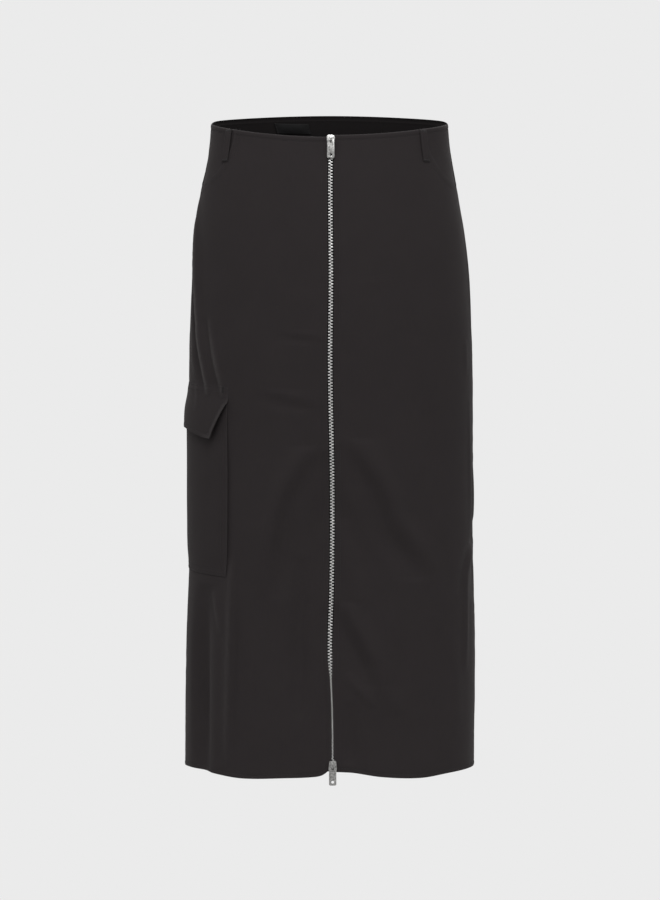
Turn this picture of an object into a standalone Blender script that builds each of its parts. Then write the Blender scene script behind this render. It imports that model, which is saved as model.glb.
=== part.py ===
"""A straight midi skirt, filled out as if worn and hollow inside.

It is cut as two fronts, one back, a curved facing behind each hip pocket's mouth, a cargo pocket
with its flap over the wearer's right side seam, and five belt loops. A metal zip with a slider at
each end runs down the whole front.

Tables and functions are in millimetres, and MM turns them into Blender's metres. The origin is the
middle of the waist opening, level with its two side points. +Z is up, the zip faces -Y, and the
wearer's left is +X.

A place on the cloth is its girth, the distance along the cloth from the front middle (positive to
the wearer's left, and on round the back), and its height.
"""

import math
from collections import namedtuple
from functools import lru_cache

import bmesh
import bpy
import numpy as np
from mathutils import Vector

MM = 0.001

# Cloth and gaps
WALL = 1.2  # thickness of the cloth's wall
SEAM_GAP = 0.3  # between two pieces that are sewn edge to edge
LAYER_GAP = 0.6  # between a piece and the cloth that it lies behind
PATCH_GAP = 0.5  # the same, under a patch that bends round the side

# Waist edge: it dips at the front and rises at the back
WAIST_DIP_RIGHT = 26.5
WAIST_DIP_LEFT = 24.3
WAIST_RISE = 21.0

# Body of the skirt, from above the waist edge to below the hem. right_half and left_half are half
# widths to the wearer's right and left, front and back are depths from the side seams' plane, and
# squareness is 2 for an ellipse and more for a squarer ring.
Section = namedtuple("Section", "height right_half left_half front back squareness")
SECTIONS = [
    Section(30, 137.5, 136.5, 88, 88, 2.10),
    Section(0, 140.0, 139.0, 91, 91, 2.10),
    Section(-33, 142.8, 141.8, 95, 97, 2.10),
    Section(-75, 150.5, 149.0, 101, 106, 2.10),
    Section(-132, 159.0, 158.2, 107, 116, 2.12),
    Section(-189, 162.8, 163.8, 110, 120, 2.15),
    Section(-274, 166.0, 167.3, 111, 120, 2.20),
    Section(-387, 165.6, 168.7, 109, 118, 2.20),
    Section(-500, 165.4, 168.7, 108, 117, 2.25),
    Section(-614, 169.0, 170.8, 108, 116, 2.30),
    Section(-770, 171.0, 169.0, 108, 115, 2.40),
]

# How far the zip wanders off the middle, to the wearer's left.
ZipPlace = namedtuple("ZipPlace", "height aside")
ZIP_LINE = [
    ZipPlace(0, 1.2),
    ZipPlace(-90, 0.4),
    ZipPlace(-190, 1.1),
    ZipPlace(-290, 0.2),
    ZipPlace(-430, 2.6),
    ZipPlace(-535, 2.0),
    ZipPlace(-610, -0.1),
    ZipPlace(-685, 2.5),
    ZipPlace(-760, 3.2),
]

# Height of the hem, by the share of the way from the zip (0) to the side seam (1).
HemPlace = namedtuple("HemPlace", "share right left")
HEM = [
    HemPlace(0.00, -750.0, -752.6),
    HemPlace(0.04, -756.5, -752.9),
    HemPlace(0.10, -758.6, -753.6),
    HemPlace(0.24, -759.4, -758.0),
    HemPlace(0.45, -760.3, -760.0),
    HemPlace(0.62, -756.5, -756.6),
    HemPlace(0.80, -753.4, -754.8),
    HemPlace(1.00, -755.0, -755.0),
]
BACK_HEM_DROP = 3.0  # the hem's lowest point behind, below its side points

# The largest folds. A ridge has a positive relief and a trough a negative one. Girths are from the
# front middle, and the centre of a fold runs straight between its two ends.
Fold = namedtuple("Fold", "top_girth top_height low_girth low_height width relief")
FOLDS = [
    Fold(-194, -90, -186, -290, 10, 2.2),  # crease down the right hip to the flap
    Fold(-186, -262, -176, -302, 9, 1.6),  # its two branches to the flap's corner
    Fold(-168, -240, -140, -306, 10, 1.8),
    Fold(-124, -516, -133, -735, 13, 2.6),  # ridge below the cargo pocket's front edge
    Fold(-172, -590, -168, -705, 10, -2.2),  # trough beside it
    Fold(52, -634, 78, -688, 13, 1.6),  # short ridge on the left front
    Fold(216, -462, 200, -560, 12, -2.4),  # notch in the left side
    Fold(205, -400, 210, -470, 9, 1.6),
    Fold(300, -250, 290, -700, 26, -2.6),  # the back's long soft folds
    Fold(430, -300, 446, -690, 24, -2.4),
    Fold(520, -330, 506, -620, 14, 2.0),
]

# Below the thighs the front falls back towards the zip, in a hollow shaped like a tent.
HOLLOW_DEPTH = 11.0
HOLLOW_WIDTH = 62.0
HOLLOW_TOP = -365.0
HOLLOW_SPREAD = 1.35  # how much lower it starts for each millimetre off the middle
HOLLOW_LENGTH = 95.0

# Grid of the panels
POCKET_ROWS = 8
BODY_ROWS = 27
FRONT_COLUMNS = 15
FRONT_CROWDING = 1.25  # above 1, the columns are closer together beside the zip
BACK_COLUMNS = 27
BACK_ROWS = 30

# Hip pocket mouths: a quarter ellipse from the waist edge to the side seam
MOUTH_WIDTH = 70.0
MOUTH_SHARE = 0.098  # of the panel's height
FACING_GAP = 0.7  # behind the front's wall
FACING_UNDER = 12.0  # how far the facing runs on behind the front
FACING_LENGTH = 1.18  # the facing's height, as a share of the mouth's
FACING_RISE = (5.0, 28.0)  # from the mouth's edge, it comes up to lie nearly level with the front
FACING_SINK = (0.5, 0.8)  # and goes back behind it between these shares of the mouth's height
FACING_LEVEL = 0.85  # how much of the step behind the front it makes up
FACING_COLUMNS = 8

# Zip
CHAIN_HALF = 3.0
CHAIN_PROUD = 1.0
CHAIN_THICKNESS = 2.2
TAPE_OUTER_EDGE = 14.0
TAPE_INNER_EDGE = 0.15
TAPE_THICKNESS = 1.0
TAPE_END = -752.0
FRONT_EDGE = 3.4  # from the zip's middle line to each front
TAPE_SPREAD = 1.9  # the tapes' inner edge where a slider's neck parts them
SPREAD_LENGTH = 9.0

# Sliders and pulls
SLIDER_TOP_HEIGHT = -31.0  # middle of each slider
SLIDER_BOTTOM_HEIGHT = -746.0
SLIDER_HALF_LENGTH = 6.3
SLIDER_SHOULDER = 4.8
SLIDER_TAIL = 3.9
PLATE_LOW = 0.35
CHANNEL_HIGH = 1.35
PLATE_HIGH = 2.4
CHANNEL_HALF = 3.3
BACK_PLATE_HIGH = -3.2
BACK_PLATE_THICKNESS = 1.0
NECK_RADIUS = 1.2
NECK_ALONG = 3.7  # from the slider's middle towards its wide end
CHAIN_ALONG = 1.9  # where the chain ends inside each slider, on the same side
BAIL_HALF = 2.0
BAIL_TOP = 5.2
BAIL_CORNER = 1.2
BAIL_WIRE = 0.65
HINGE_OUT = 3.55  # the pull's hinge, out from the cloth
PULL_WIDTH = 8.4
PULL_LENGTH = 22.0
PULL_THICKNESS = 1.2
PULL_BAR = 1.2
PULL_CORNER = 1.6
PULL_WINDOW_WIDTH = 2.6
PULL_WINDOW_LENGTH = 3.2
PULL_HOLE_RADIUS = 1.7
PULL_HOLE_ALONG = 17.6
PULL_LEAN = math.radians(3.2)  # how far the upper pull leans in from its slider towards the chain

# Cargo pocket, over the right side seam. Across is from that seam, positive to the front.
POCKET_FRONT = 100.0
POCKET_BACK = -90.0
POCKET_TOP = -312.0
POCKET_DEPTH = 210.0
POCKET_TILT = 0.085  # how much lower it lies for each millimetre to the front
POCKET_LIFT = 1.4  # how far its middle stands off, beyond the gap
POCKET_EDGE_LIFT = 2.2  # and its front edge
POCKET_EDGE_REACH = 30.0  # how far back from the front edge that lift reaches
POCKET_SEWN_EDGE = 6.0  # width of the sewn edge, where it lies close
POCKET_RIM = 4.0  # width of the grid's outermost cells
POCKET_COLUMNS = 13  # between those cells
POCKET_GRID_ROWS = 13
FLAP_TOP = -303.0
FLAP_WALL = 2.0
FLAP_HINGE = 7.0  # from its seam to where it stands clear of the pocket
FLAP_CLIP_ACROSS = 24.0
FLAP_CLIP_UP = 34.0
FlapEdge = namedtuple("FlapEdge", "across drop lift")
FLAP = [
    FlapEdge(-91.5, 58.0, 3.0),
    FlapEdge(-66.0, 60.0, 3.2),
    FlapEdge(-20.0, 54.0, 1.6),
    FlapEdge(25.0, 54.0, 1.6),
    FlapEdge(66.0, 61.0, 4.2),
    FlapEdge(101.5, 62.0, 5.5),
]

# Belt loops: each lies on a front, at a share of the way from the zip to the side seam, or on the
# back, at a share of the way from its left side seam to its right one.
Loop = namedtuple("Loop", "name panel share")
LOOPS = [
    Loop("belt_loop_front_right", "right", 0.675),
    Loop("belt_loop_front_left", "left", 0.61),
    Loop("belt_loop_back_left", "back", 0.22),
    Loop("belt_loop_back_middle", "back", 0.50),
    Loop("belt_loop_back_right", "back", 0.78),
]
LOOP_WIDTH = 10.0
LOOP_LENGTH = 38.0
LOOP_STANDOFF = 2.4
LOOP_ARCH = (1.35, 0.6)  # how soon it stands off: the gain and power of its arch
LOOP_BELOW_EDGE = 1.0
LOOP_ROWS = 9

# Blank label inside the back's waist
LABEL_MIDDLE = 413.0  # girth
LABEL_WIDTH = 43.0
LABEL_HEIGHT = 12.0
LABEL_BELOW_EDGE = 9.0
LABEL_THICKNESS = 1.0

RIGHT, LEFT = -1, 1


# ---------------------------------------------------------------- the body's surface


def smoothstep(low, high, value):
    share = min(1.0, max(0.0, (value - low) / (high - low)))
    return share * share * (3 - 2 * share)


def curve_through(stations, values, at):
    """A smooth curve through values at rising stations, read at one place."""
    last = len(stations) - 1
    here = int(np.clip(np.searchsorted(stations, at) - 1, 0, last - 1))

    def slope(index):
        before, after = max(index - 1, 0), min(index + 1, last)
        return (values[after] - values[before]) / (stations[after] - stations[before])

    span = stations[here + 1] - stations[here]
    share = min(1.0, max(0.0, (at - stations[here]) / span))
    start, end = values[here], values[here + 1]
    leave, arrive = slope(here) * span, slope(here + 1) * span
    return (
        (2 * share**3 - 3 * share**2 + 1) * start
        + (share**3 - 2 * share**2 + share) * leave
        + (3 * share**2 - 2 * share**3) * end
        + (share**3 - share**2) * arrive
    )


def read(table, key, column, at):
    """The column of a table at a value of its key, whichever way the key runs."""
    rows = sorted(table, key=lambda row: getattr(row, key))
    stations = [getattr(row, key) for row in rows]
    return curve_through(stations, [getattr(row, column) for row in rows], at)


@lru_cache(maxsize=None)
def section_at(height):
    return Section(height, *(read(SECTIONS, "height", column, height) for column in Section._fields[1:]))


def ring(angle, height):
    """The plain body at an angle from the front middle, before any fold: (x, y)."""
    section = section_at(round(height, 2))
    sine, cosine = np.sin(angle), np.cos(angle)
    half = np.where(sine < 0, section.right_half, section.left_half)
    depth = np.where(cosine > 0, section.front, section.back)
    power = section.squareness
    reach = (np.abs(sine / half) ** power + np.abs(cosine / depth) ** power) ** (-1 / power)
    return reach * sine, -reach * cosine


ANGLES = np.radians(np.arange(-276, 276.1, 1.5))


@lru_cache(maxsize=None)
def girths_at(height):
    """The girth at each of ANGLES."""
    x, y = ring(ANGLES, height)
    along = np.concatenate([[0.0], np.cumsum(np.hypot(np.diff(x), np.diff(y)))])
    return along - np.interp(0.0, ANGLES, along)


def girth_of(degrees, height):
    return float(np.interp(math.radians(degrees), ANGLES, girths_at(round(height))))


def side_girth(side, height):
    """The girth of a side seam, negative on the wearer's right."""
    return girth_of(90 * side, height)


def hollow(girth, height):
    """How far the front falls back beside the zip."""
    start = -HOLLOW_TOP + HOLLOW_SPREAD * abs(girth)
    grown = smoothstep(0, HOLLOW_LENGTH, -height - start)
    return HOLLOW_DEPTH * math.exp(-((girth / HOLLOW_WIDTH) ** 2)) * grown


def relief(girth, height):
    """The folds at a place, out from the plain body."""
    around = girth_of(360 - 90, height) - girth_of(-90, height)
    total = 0.0
    for fold in FOLDS:
        share = (fold.top_height - height) / (fold.top_height - fold.low_height)
        if not 0 < share < 1:
            continue
        middle = fold.top_girth + (fold.low_girth - fold.top_girth) * share
        off = (girth - middle + around / 2) % around - around / 2
        if abs(off) > 2 * fold.width:
            continue
        across = math.cos(math.pi / 4 * off / fold.width) ** 2
        total += fold.relief * across**2 * math.sin(math.pi * share) ** 0.6
    return total - hollow((girth + around / 2) % around - around / 2, height)


def skin(girth, height, out=0.0):
    """A point of the cloth's outer face, moved out along the body's normal."""
    angle = float(np.interp(girth, girths_at(round(height)), ANGLES))
    step = 0.01
    x, y = ring(angle, height)
    ahead, behind = ring(angle + step, height), ring(angle - step, height)
    above, below = ring(angle, height + 1), ring(angle, height - 1)
    across = Vector((ahead[0] - behind[0], ahead[1] - behind[1], 0))
    up = Vector((above[0] - below[0], above[1] - below[1], 2))
    normal = across.cross(up).normalized()
    return Vector((x, y, height)) + normal * (out + relief(girth, height))


def zip_girth(height):
    return read(ZIP_LINE, "height", "aside", height)


# ---------------------------------------------------------------- edges of the panels


def front_top(side, share):
    dip = WAIST_DIP_RIGHT if side == RIGHT else WAIST_DIP_LEFT
    return -dip * math.cos(math.pi / 2 * min(share, 1.0)) ** 1.1


def front_hem(side, share):
    return read(HEM, "share", "right" if side == RIGHT else "left", share)


def back_top(share):
    return WAIST_RISE * math.sin(math.pi * min(max(share, 0.0), 1.0)) ** 0.75


def back_hem(share):
    return HEM[-1].left - BACK_HEM_DROP * math.sin(math.pi * share)


def front_place(side, share, down):
    """Girth and height on a front: share is 0 at the zip and 1 at the side, down is 0 to 1."""
    height = front_top(side, share) * (1 - down) + front_hem(side, share) * down
    inner = zip_girth(height) + side * FRONT_EDGE
    outer = side_girth(side, height) - side * SEAM_GAP / 2
    return inner + (outer - inner) * share, height


def back_place(share, down):
    """Girth and height on the back: share is 0 at the wearer's left seam and 1 at the right."""
    height = back_top(share) * (1 - down) + back_hem(share) * down
    start = side_girth(LEFT, height) + SEAM_GAP / 2
    end = girth_of(270, height) - SEAM_GAP / 2
    return start + (end - start) * share, height


def mouth_share(down, width=MOUTH_WIDTH, length=MOUTH_SHARE, narrowest=0.0):
    """Where the hip pocket's mouth crosses a front, as a share of the way to the side seam."""
    left = max(1 - (down / length) ** 2, 0.0)
    return 1 - max(width * math.sqrt(left), narrowest) / side_girth(LEFT, 0)


def front_rows():
    """Rows down a front: close together where the pocket's mouth turns into the side seam."""
    pocket = [MOUTH_SHARE * math.sin(math.pi / 2 * row / POCKET_ROWS) for row in range(POCKET_ROWS + 1)]
    body = [MOUTH_SHARE + (1 - MOUTH_SHARE) * row / BODY_ROWS for row in range(1, BODY_ROWS + 1)]
    return pocket + body


def front_columns():
    return [(column / FRONT_COLUMNS) ** FRONT_CROWDING for column in range(FRONT_COLUMNS + 1)]


# ---------------------------------------------------------------- making meshes


def clear_scene():
    for obj in list(bpy.data.objects):
        bpy.data.objects.remove(obj)


def collection(name, shown=True):
    made = bpy.data.collections.new(name)
    made.hide_render = not shown
    bpy.context.scene.collection.children.link(made)
    return made


def material(name, color, roughness, metallic=0.0):
    made = bpy.data.materials.new(name)
    made.use_nodes = True
    shader = made.node_tree.nodes["Principled BSDF"]
    shader.inputs["Base Color"].default_value = (*color, 1)
    shader.inputs["Roughness"].default_value = roughness
    shader.inputs["Metallic"].default_value = metallic
    return made


def add(name, mesh, finish, into):
    made = bpy.data.objects.new(name, mesh)
    mesh.materials.append(finish)
    into.objects.link(made)
    return made


def sheet(name, columns, rows, place, wall, finish, into):
    """Cloth on a grid: place(column, row) is the outer face, columns run to the wearer's left."""
    bm = bmesh.new()
    grid = [[bm.verts.new(place(column, row) * MM) for row in rows] for column in columns]
    for here, beside in zip(grid, grid[1:]):
        for row in range(len(rows) - 1):
            bm.faces.new((here[row], here[row + 1], beside[row + 1], beside[row]))
    mesh = bpy.data.meshes.new(name)
    bm.to_mesh(mesh)
    bm.free()
    mesh.shade_smooth()
    made = add(name, mesh, finish, into)
    made.modifiers.new("short_diagonals", "TRIANGULATE").quad_method = "SHORTEST_DIAGONAL"
    thickness = made.modifiers.new("wall", "SOLIDIFY")
    thickness.thickness = wall * MM
    thickness.offset = -1
    thickness.use_even_offset = True
    return made


def prism(name, outline, low, high, finish, into):
    """An outline of (x, z) points, given thickness along -Y from low to high."""
    bm = bmesh.new()
    face = bm.faces.new([bm.verts.new((x * MM, -high * MM, z * MM)) for x, z in outline])
    grown = bmesh.ops.extrude_face_region(bm, geom=[face])
    moved = [item for item in grown["geom"] if isinstance(item, bmesh.types.BMVert)]
    bmesh.ops.translate(bm, verts=moved, vec=(0, (high - low) * MM, 0))
    bmesh.ops.recalc_face_normals(bm, faces=bm.faces)
    mesh = bpy.data.meshes.new(name)
    bm.to_mesh(mesh)
    bm.free()
    return add(name, mesh, finish, into)


def combine(base, other, operation):
    step = base.modifiers.new(other.name, "BOOLEAN")
    step.operation = operation
    step.object = other
    other.parent = base
    other.hide_render = True
    other.display_type = "WIRE"


def welded_mesh(curve_object):
    """The mesh of a curve object, with its caps joined on."""
    graph = bpy.context.evaluated_depsgraph_get()
    mesh = bpy.data.meshes.new_from_object(curve_object.evaluated_get(graph))
    bm = bmesh.new()
    bm.from_mesh(mesh)
    bmesh.ops.remove_doubles(bm, verts=bm.verts, dist=1e-6)
    bmesh.ops.recalc_face_normals(bm, faces=bm.faces)
    bm.to_mesh(mesh)
    bm.free()
    return mesh


# ---------------------------------------------------------------- the pieces of cloth


def front(name, side, finish, into):
    def place(column, row):
        girth, height = front_place(side, column * mouth_share(row), row)
        return skin(girth, height)

    columns = front_columns()
    if side == RIGHT:
        columns = columns[::-1]
    sheet(name, columns, front_rows(), place, WALL, finish, into)


def back(finish, into):
    columns = [column / BACK_COLUMNS for column in range(BACK_COLUMNS + 1)]
    rows = [row / BACK_ROWS for row in range(BACK_ROWS + 1)]
    sheet("back", columns, rows, lambda column, row: skin(*back_place(column, row)), WALL, finish, into)


def hip_facing(name, side, finish, into):
    """The piece seen above a hip pocket's curved mouth. It runs on a little behind the front."""
    length = MOUTH_SHARE * FACING_LENGTH
    rows = [length * math.sin(math.pi / 2 * row / POCKET_ROWS) for row in range(POCKET_ROWS + 1)]

    def place(column, row):
        inner = mouth_share(row, MOUTH_WIDTH + FACING_UNDER, length, FACING_UNDER)
        share = inner + (1 - inner) * column
        girth, height = front_place(side, share, row)
        clear = (share - mouth_share(row)) * side_girth(LEFT, 0) if row < MOUTH_SHARE else 0
        level = smoothstep(*FACING_RISE, clear) * (1 - smoothstep(*FACING_SINK, row / MOUTH_SHARE))
        return skin(girth, height, -(WALL + FACING_GAP) * (1 - FACING_LEVEL * level))

    columns = [column / FACING_COLUMNS for column in range(FACING_COLUMNS + 1)]
    if side == RIGHT:
        columns = columns[::-1]
    sheet(name, columns, rows, place, WALL, finish, into)


def patch_place(across, down, top):
    """Girth and height on the cargo pocket's slanting patch."""
    height = top - down - POCKET_TILT * across
    return side_girth(RIGHT, height) + across, height


def pocket_stand_off(across):
    """How far the pocket stands off the skirt, at its middle and towards its front edge."""
    share = min(max((across - POCKET_BACK) / (POCKET_FRONT - POCKET_BACK), 0.0), 1.0)
    edge = smoothstep(POCKET_EDGE_REACH, 0, POCKET_FRONT - across)
    return POCKET_LIFT * math.sin(math.pi * share) + POCKET_EDGE_LIFT * edge


def cargo_pocket(finish, into):
    width = POCKET_FRONT - POCKET_BACK

    def place(across, down):
        from_edge = min(POCKET_FRONT - across, across - POCKET_BACK, POCKET_DEPTH - down)
        lift = pocket_stand_off(across) * smoothstep(0, POCKET_SEWN_EDGE, from_edge)
        return skin(*patch_place(across, down, POCKET_TOP), PATCH_GAP + WALL + lift)

    inner = width - 2 * POCKET_RIM
    across = [POCKET_BACK + POCKET_RIM + inner * step / POCKET_COLUMNS for step in range(POCKET_COLUMNS + 1)]
    across = [POCKET_BACK] + across + [POCKET_FRONT]
    down = [(POCKET_DEPTH - POCKET_RIM) * step / POCKET_GRID_ROWS for step in range(POCKET_GRID_ROWS + 1)]
    down += [POCKET_DEPTH]
    sheet("cargo_pocket", across, down, place, WALL, finish, into)


def cargo_flap(finish, into):
    """The flap, sewn on above the pocket and standing off it, its lower corners cut away."""
    ends = (FLAP[0].across, FLAP[-1].across)

    def drop(across):
        full = read(FLAP, "across", "drop", across)
        from_end = min(across - ends[0], ends[1] - across)
        return full - FLAP_CLIP_UP * max(0.0, 1 - from_end / FLAP_CLIP_ACROSS)

    def place(across, row):
        down = FLAP_HINGE * min(row, 1) + (drop(across) - FLAP_HINGE) * max(row - 1, 0)
        over_pocket = WALL + PATCH_GAP + pocket_stand_off(across)
        lifted = read(FLAP, "across", "lift", across) * smoothstep(FLAP_HINGE, FLAP[0].drop, down)
        out = PATCH_GAP + over_pocket * smoothstep(0, FLAP_HINGE, down) + lifted + FLAP_WALL
        return skin(*patch_place(across, down, FLAP_TOP), out)

    inner = ends[1] - ends[0] - 2 * FLAP_CLIP_ACROSS
    across = [ends[0] + FLAP_CLIP_ACROSS * step / 3 for step in range(3)]
    across += [ends[0] + FLAP_CLIP_ACROSS + inner * step / 10 for step in range(11)]
    across += [ends[1] - FLAP_CLIP_ACROSS * step / 3 for step in (2, 1, 0)]
    rows = [0, 0.5, 1, 1.2, 1.45, 1.72, 2]  # 1 is where it stands clear of the pocket
    sheet("cargo_flap", across, rows, place, FLAP_WALL, finish, into)


def panel_place(panel, share, height):
    """Girth at a share of the way across a panel."""
    if panel == "back":
        return girth_of(90 + 180 * share, height)
    return side_girth(LEFT if panel == "left" else RIGHT, height) * share


def belt_loop(loop, finish, into):
    """A strip sewn down at both ends and standing off between them."""
    if loop.panel == "back":
        top = back_top(loop.share)
    else:
        top = front_top(LEFT if loop.panel == "left" else RIGHT, loop.share)

    def place(across, down):
        gain, power = LOOP_ARCH
        standoff = LOOP_STANDOFF * min(1.0, gain * math.sin(math.pi * down / LOOP_LENGTH) ** power)
        height = top - LOOP_BELOW_EDGE - down
        girth = panel_place(loop.panel, loop.share, height)
        return skin(girth + across, height, PATCH_GAP + WALL + standoff)

    across = [-LOOP_WIDTH / 2, 0, LOOP_WIDTH / 2]
    down = [LOOP_LENGTH * row / LOOP_ROWS for row in range(LOOP_ROWS + 1)]
    sheet(loop.name, across, down, place, WALL, finish, into)


def label(finish, into):
    """A bare woven label, sewn inside the back's waist."""
    start, end = girth_of(90, 0), girth_of(270, 0)
    top = back_top((LABEL_MIDDLE - start) / (end - start)) - LABEL_BELOW_EDGE

    def place(across, down):
        return skin(LABEL_MIDDLE + across, top - down, -(WALL + PATCH_GAP))

    across = [LABEL_WIDTH * (step / 4 - 0.5) for step in range(5)]
    sheet("label", across, [0, LABEL_HEIGHT], place, LABEL_THICKNESS, finish, into)


# ---------------------------------------------------------------- the zip


def zip_heights(top, low):
    """Heights down the zip between two ends, on the same rows as the fronts'."""
    inside = []
    for row in front_rows():
        height = (front_place(RIGHT, 0, row)[1] + front_place(LEFT, 0, row)[1]) / 2
        if low + 4 < height < top - 4:
            inside.append(height)
    return [top] + inside + [low]


def zip_tape(name, side, finish, into):
    top = front_top(side, 0) - 1
    heights = zip_heights(top, TAPE_END)
    heights[1:1] = [top - SPREAD_LENGTH]
    heights[-1:-1] = [TAPE_END + SPREAD_LENGTH]

    def place(share, height):
        parted = smoothstep(SPREAD_LENGTH, 0, min(top - height, height - TAPE_END))
        inner = TAPE_INNER_EDGE + (TAPE_SPREAD - TAPE_INNER_EDGE) * parted
        off = inner + (TAPE_OUTER_EDGE - inner) * share
        return skin(zip_girth(height) + side * off, height, -(WALL + LAYER_GAP))

    columns = [0, 0.5, 1] if side == LEFT else [1, 0.5, 0]
    sheet(name, columns, sorted(heights, reverse=True), place, TAPE_THICKNESS, finish, into)


def zip_chain(finish, into):
    """The closed teeth as one plain strip, from inside one slider to inside the other."""
    heights = zip_heights(SLIDER_TOP_HEIGHT + CHAIN_ALONG, SLIDER_BOTTOM_HEIGHT - CHAIN_ALONG)

    def place(off, height):
        return skin(zip_girth(height) + off, height, CHAIN_PROUD)

    sheet("zip_chain", [-CHAIN_HALF, 0, CHAIN_HALF], heights, place, CHAIN_THICKNESS, finish, into)


def zip_slope(height):
    """The zip's lean at a height, as a turn about X."""
    reach = 10
    above = skin(zip_girth(height), height + reach)
    below = skin(zip_girth(height), height - reach)
    return math.atan2(below.y - above.y, 2 * reach)


def slider_outline(wide_end):
    """Half shield: round shoulders at the wide end, straight sides to a narrow tail."""
    shoulder = [
        (2.4, SLIDER_HALF_LENGTH),
        (4.0, SLIDER_HALF_LENGTH - 0.9),
        (SLIDER_SHOULDER, SLIDER_HALF_LENGTH - 2.8),
        (SLIDER_SHOULDER - 0.2, 0.5),
        (SLIDER_TAIL, -SLIDER_HALF_LENGTH + 0.6),
        (SLIDER_TAIL - 0.6, -SLIDER_HALF_LENGTH),
    ]
    points = shoulder + [(-x, z) for x, z in reversed(shoulder)]
    return [(x, z * wide_end) for x, z in points]


def bail_mesh(finish, helpers):
    """The arch that holds the pull, bent from wire."""
    points = [(-BAIL_HALF, PLATE_HIGH - 0.6)]
    for turn in range(4):
        angle = math.pi - turn * math.pi / 6
        points.append(
            (
                -BAIL_HALF + BAIL_CORNER * (1 + math.cos(angle)),
                BAIL_TOP - BAIL_CORNER * (1 - math.sin(angle)),
            )
        )
    points += [(-along, out) for along, out in reversed(points)]
    curve = bpy.data.curves.new("bail_wire", "CURVE")
    curve.dimensions = "3D"
    curve.bevel_depth = BAIL_WIRE * MM
    curve.bevel_resolution = 2
    curve.use_fill_caps = True
    spline = curve.splines.new("POLY")
    spline.points.add(len(points) - 1)
    for point, (along, out) in zip(spline.points, points):
        point.co = (0, -out * MM, along * MM, 1)
    wire = bpy.data.objects.new("bail_wire", curve)
    helpers.objects.link(wire)
    mesh = welded_mesh(wire)
    bpy.data.objects.remove(wire)
    mesh.materials.clear()
    mesh.materials.append(finish)
    return mesh


def slider(name, height, wide_end, finish, into, helpers):
    """One slider: a channel over the chain, a back plate inside the skirt, a neck and a bail."""
    outline = slider_outline(wide_end)
    body = prism(name, outline, PLATE_LOW, PLATE_HIGH, finish, into)
    long = SLIDER_HALF_LENGTH + 1
    channel = [(-CHANNEL_HALF, -long), (CHANNEL_HALF, -long), (CHANNEL_HALF, long), (-CHANNEL_HALF, long)]
    combine(body, prism(name + "_channel", channel, PLATE_LOW - 1, CHANNEL_HIGH, finish, helpers), "DIFFERENCE")
    back_low = BACK_PLATE_HIGH - BACK_PLATE_THICKNESS
    corners = [math.tau * corner / 12 for corner in range(12)]
    neck = [
        (NECK_RADIUS * math.cos(turn), wide_end * NECK_ALONG + NECK_RADIUS * math.sin(turn))
        for turn in corners
    ]
    combine(body, prism(name + "_neck", neck, back_low + 0.3, PLATE_HIGH - 0.3, finish, helpers), "UNION")
    combine(body, prism(name + "_back", outline, back_low, BACK_PLATE_HIGH, finish, helpers), "UNION")
    bail = bpy.data.objects.new(name + "_bail", bail_mesh(finish, helpers))
    helpers.objects.link(bail)
    combine(body, bail, "UNION")
    body.location = skin(zip_girth(height), height) * MM
    body.rotation_euler.x = zip_slope(height)


def rounded(width, top, low, radius):
    """A rectangle's outline with round corners, as (x, z) points."""
    points = []
    for middle_x, middle_z, start in (
        (width / 2 - radius, top - radius, 0),
        (radius - width / 2, top - radius, 90),
        (radius - width / 2, low + radius, 180),
        (width / 2 - radius, low + radius, 270),
    ):
        for step in range(4):
            turn = math.radians(start + 30 * step)
            points.append((middle_x + radius * math.cos(turn), middle_z + radius * math.sin(turn)))
    return points


def pull(name, height, lean, finish, into):
    """A flat pull. Its bar lies inside the slider's bail, and its origin is on that hinge."""
    window_top = -PULL_BAR / 2
    outlines = [
        rounded(PULL_WIDTH, PULL_BAR / 2, PULL_BAR / 2 - PULL_LENGTH, PULL_CORNER),
        rounded(PULL_WINDOW_WIDTH, window_top, window_top - PULL_WINDOW_LENGTH, 0.4),
        [
            (PULL_HOLE_RADIUS * math.cos(turn), -PULL_HOLE_ALONG + PULL_HOLE_RADIUS * math.sin(turn))
            for turn in (math.tau * corner / 14 for corner in range(14))
        ],
    ]
    curve = bpy.data.curves.new(name, "CURVE")
    curve.dimensions = "2D"
    curve.fill_mode = "BOTH"
    curve.extrude = PULL_THICKNESS / 2 * MM
    for outline in outlines:
        spline = curve.splines.new("POLY")
        spline.use_cyclic_u = True
        spline.points.add(len(outline) - 1)
        for point, (x, z) in zip(spline.points, outline):
            point.co = (x * MM, z * MM, 0, 1)
    curve.materials.append(finish)
    made = bpy.data.objects.new(name, curve)
    into.objects.link(made)
    slope = zip_slope(height)
    out = Vector((0, -math.cos(slope), -math.sin(slope)))
    made.location = (skin(zip_girth(height), height) + out * HINGE_OUT) * MM
    made.rotation_euler.x = math.radians(90) + slope + lean


# ---------------------------------------------------------------- the skirt


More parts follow.
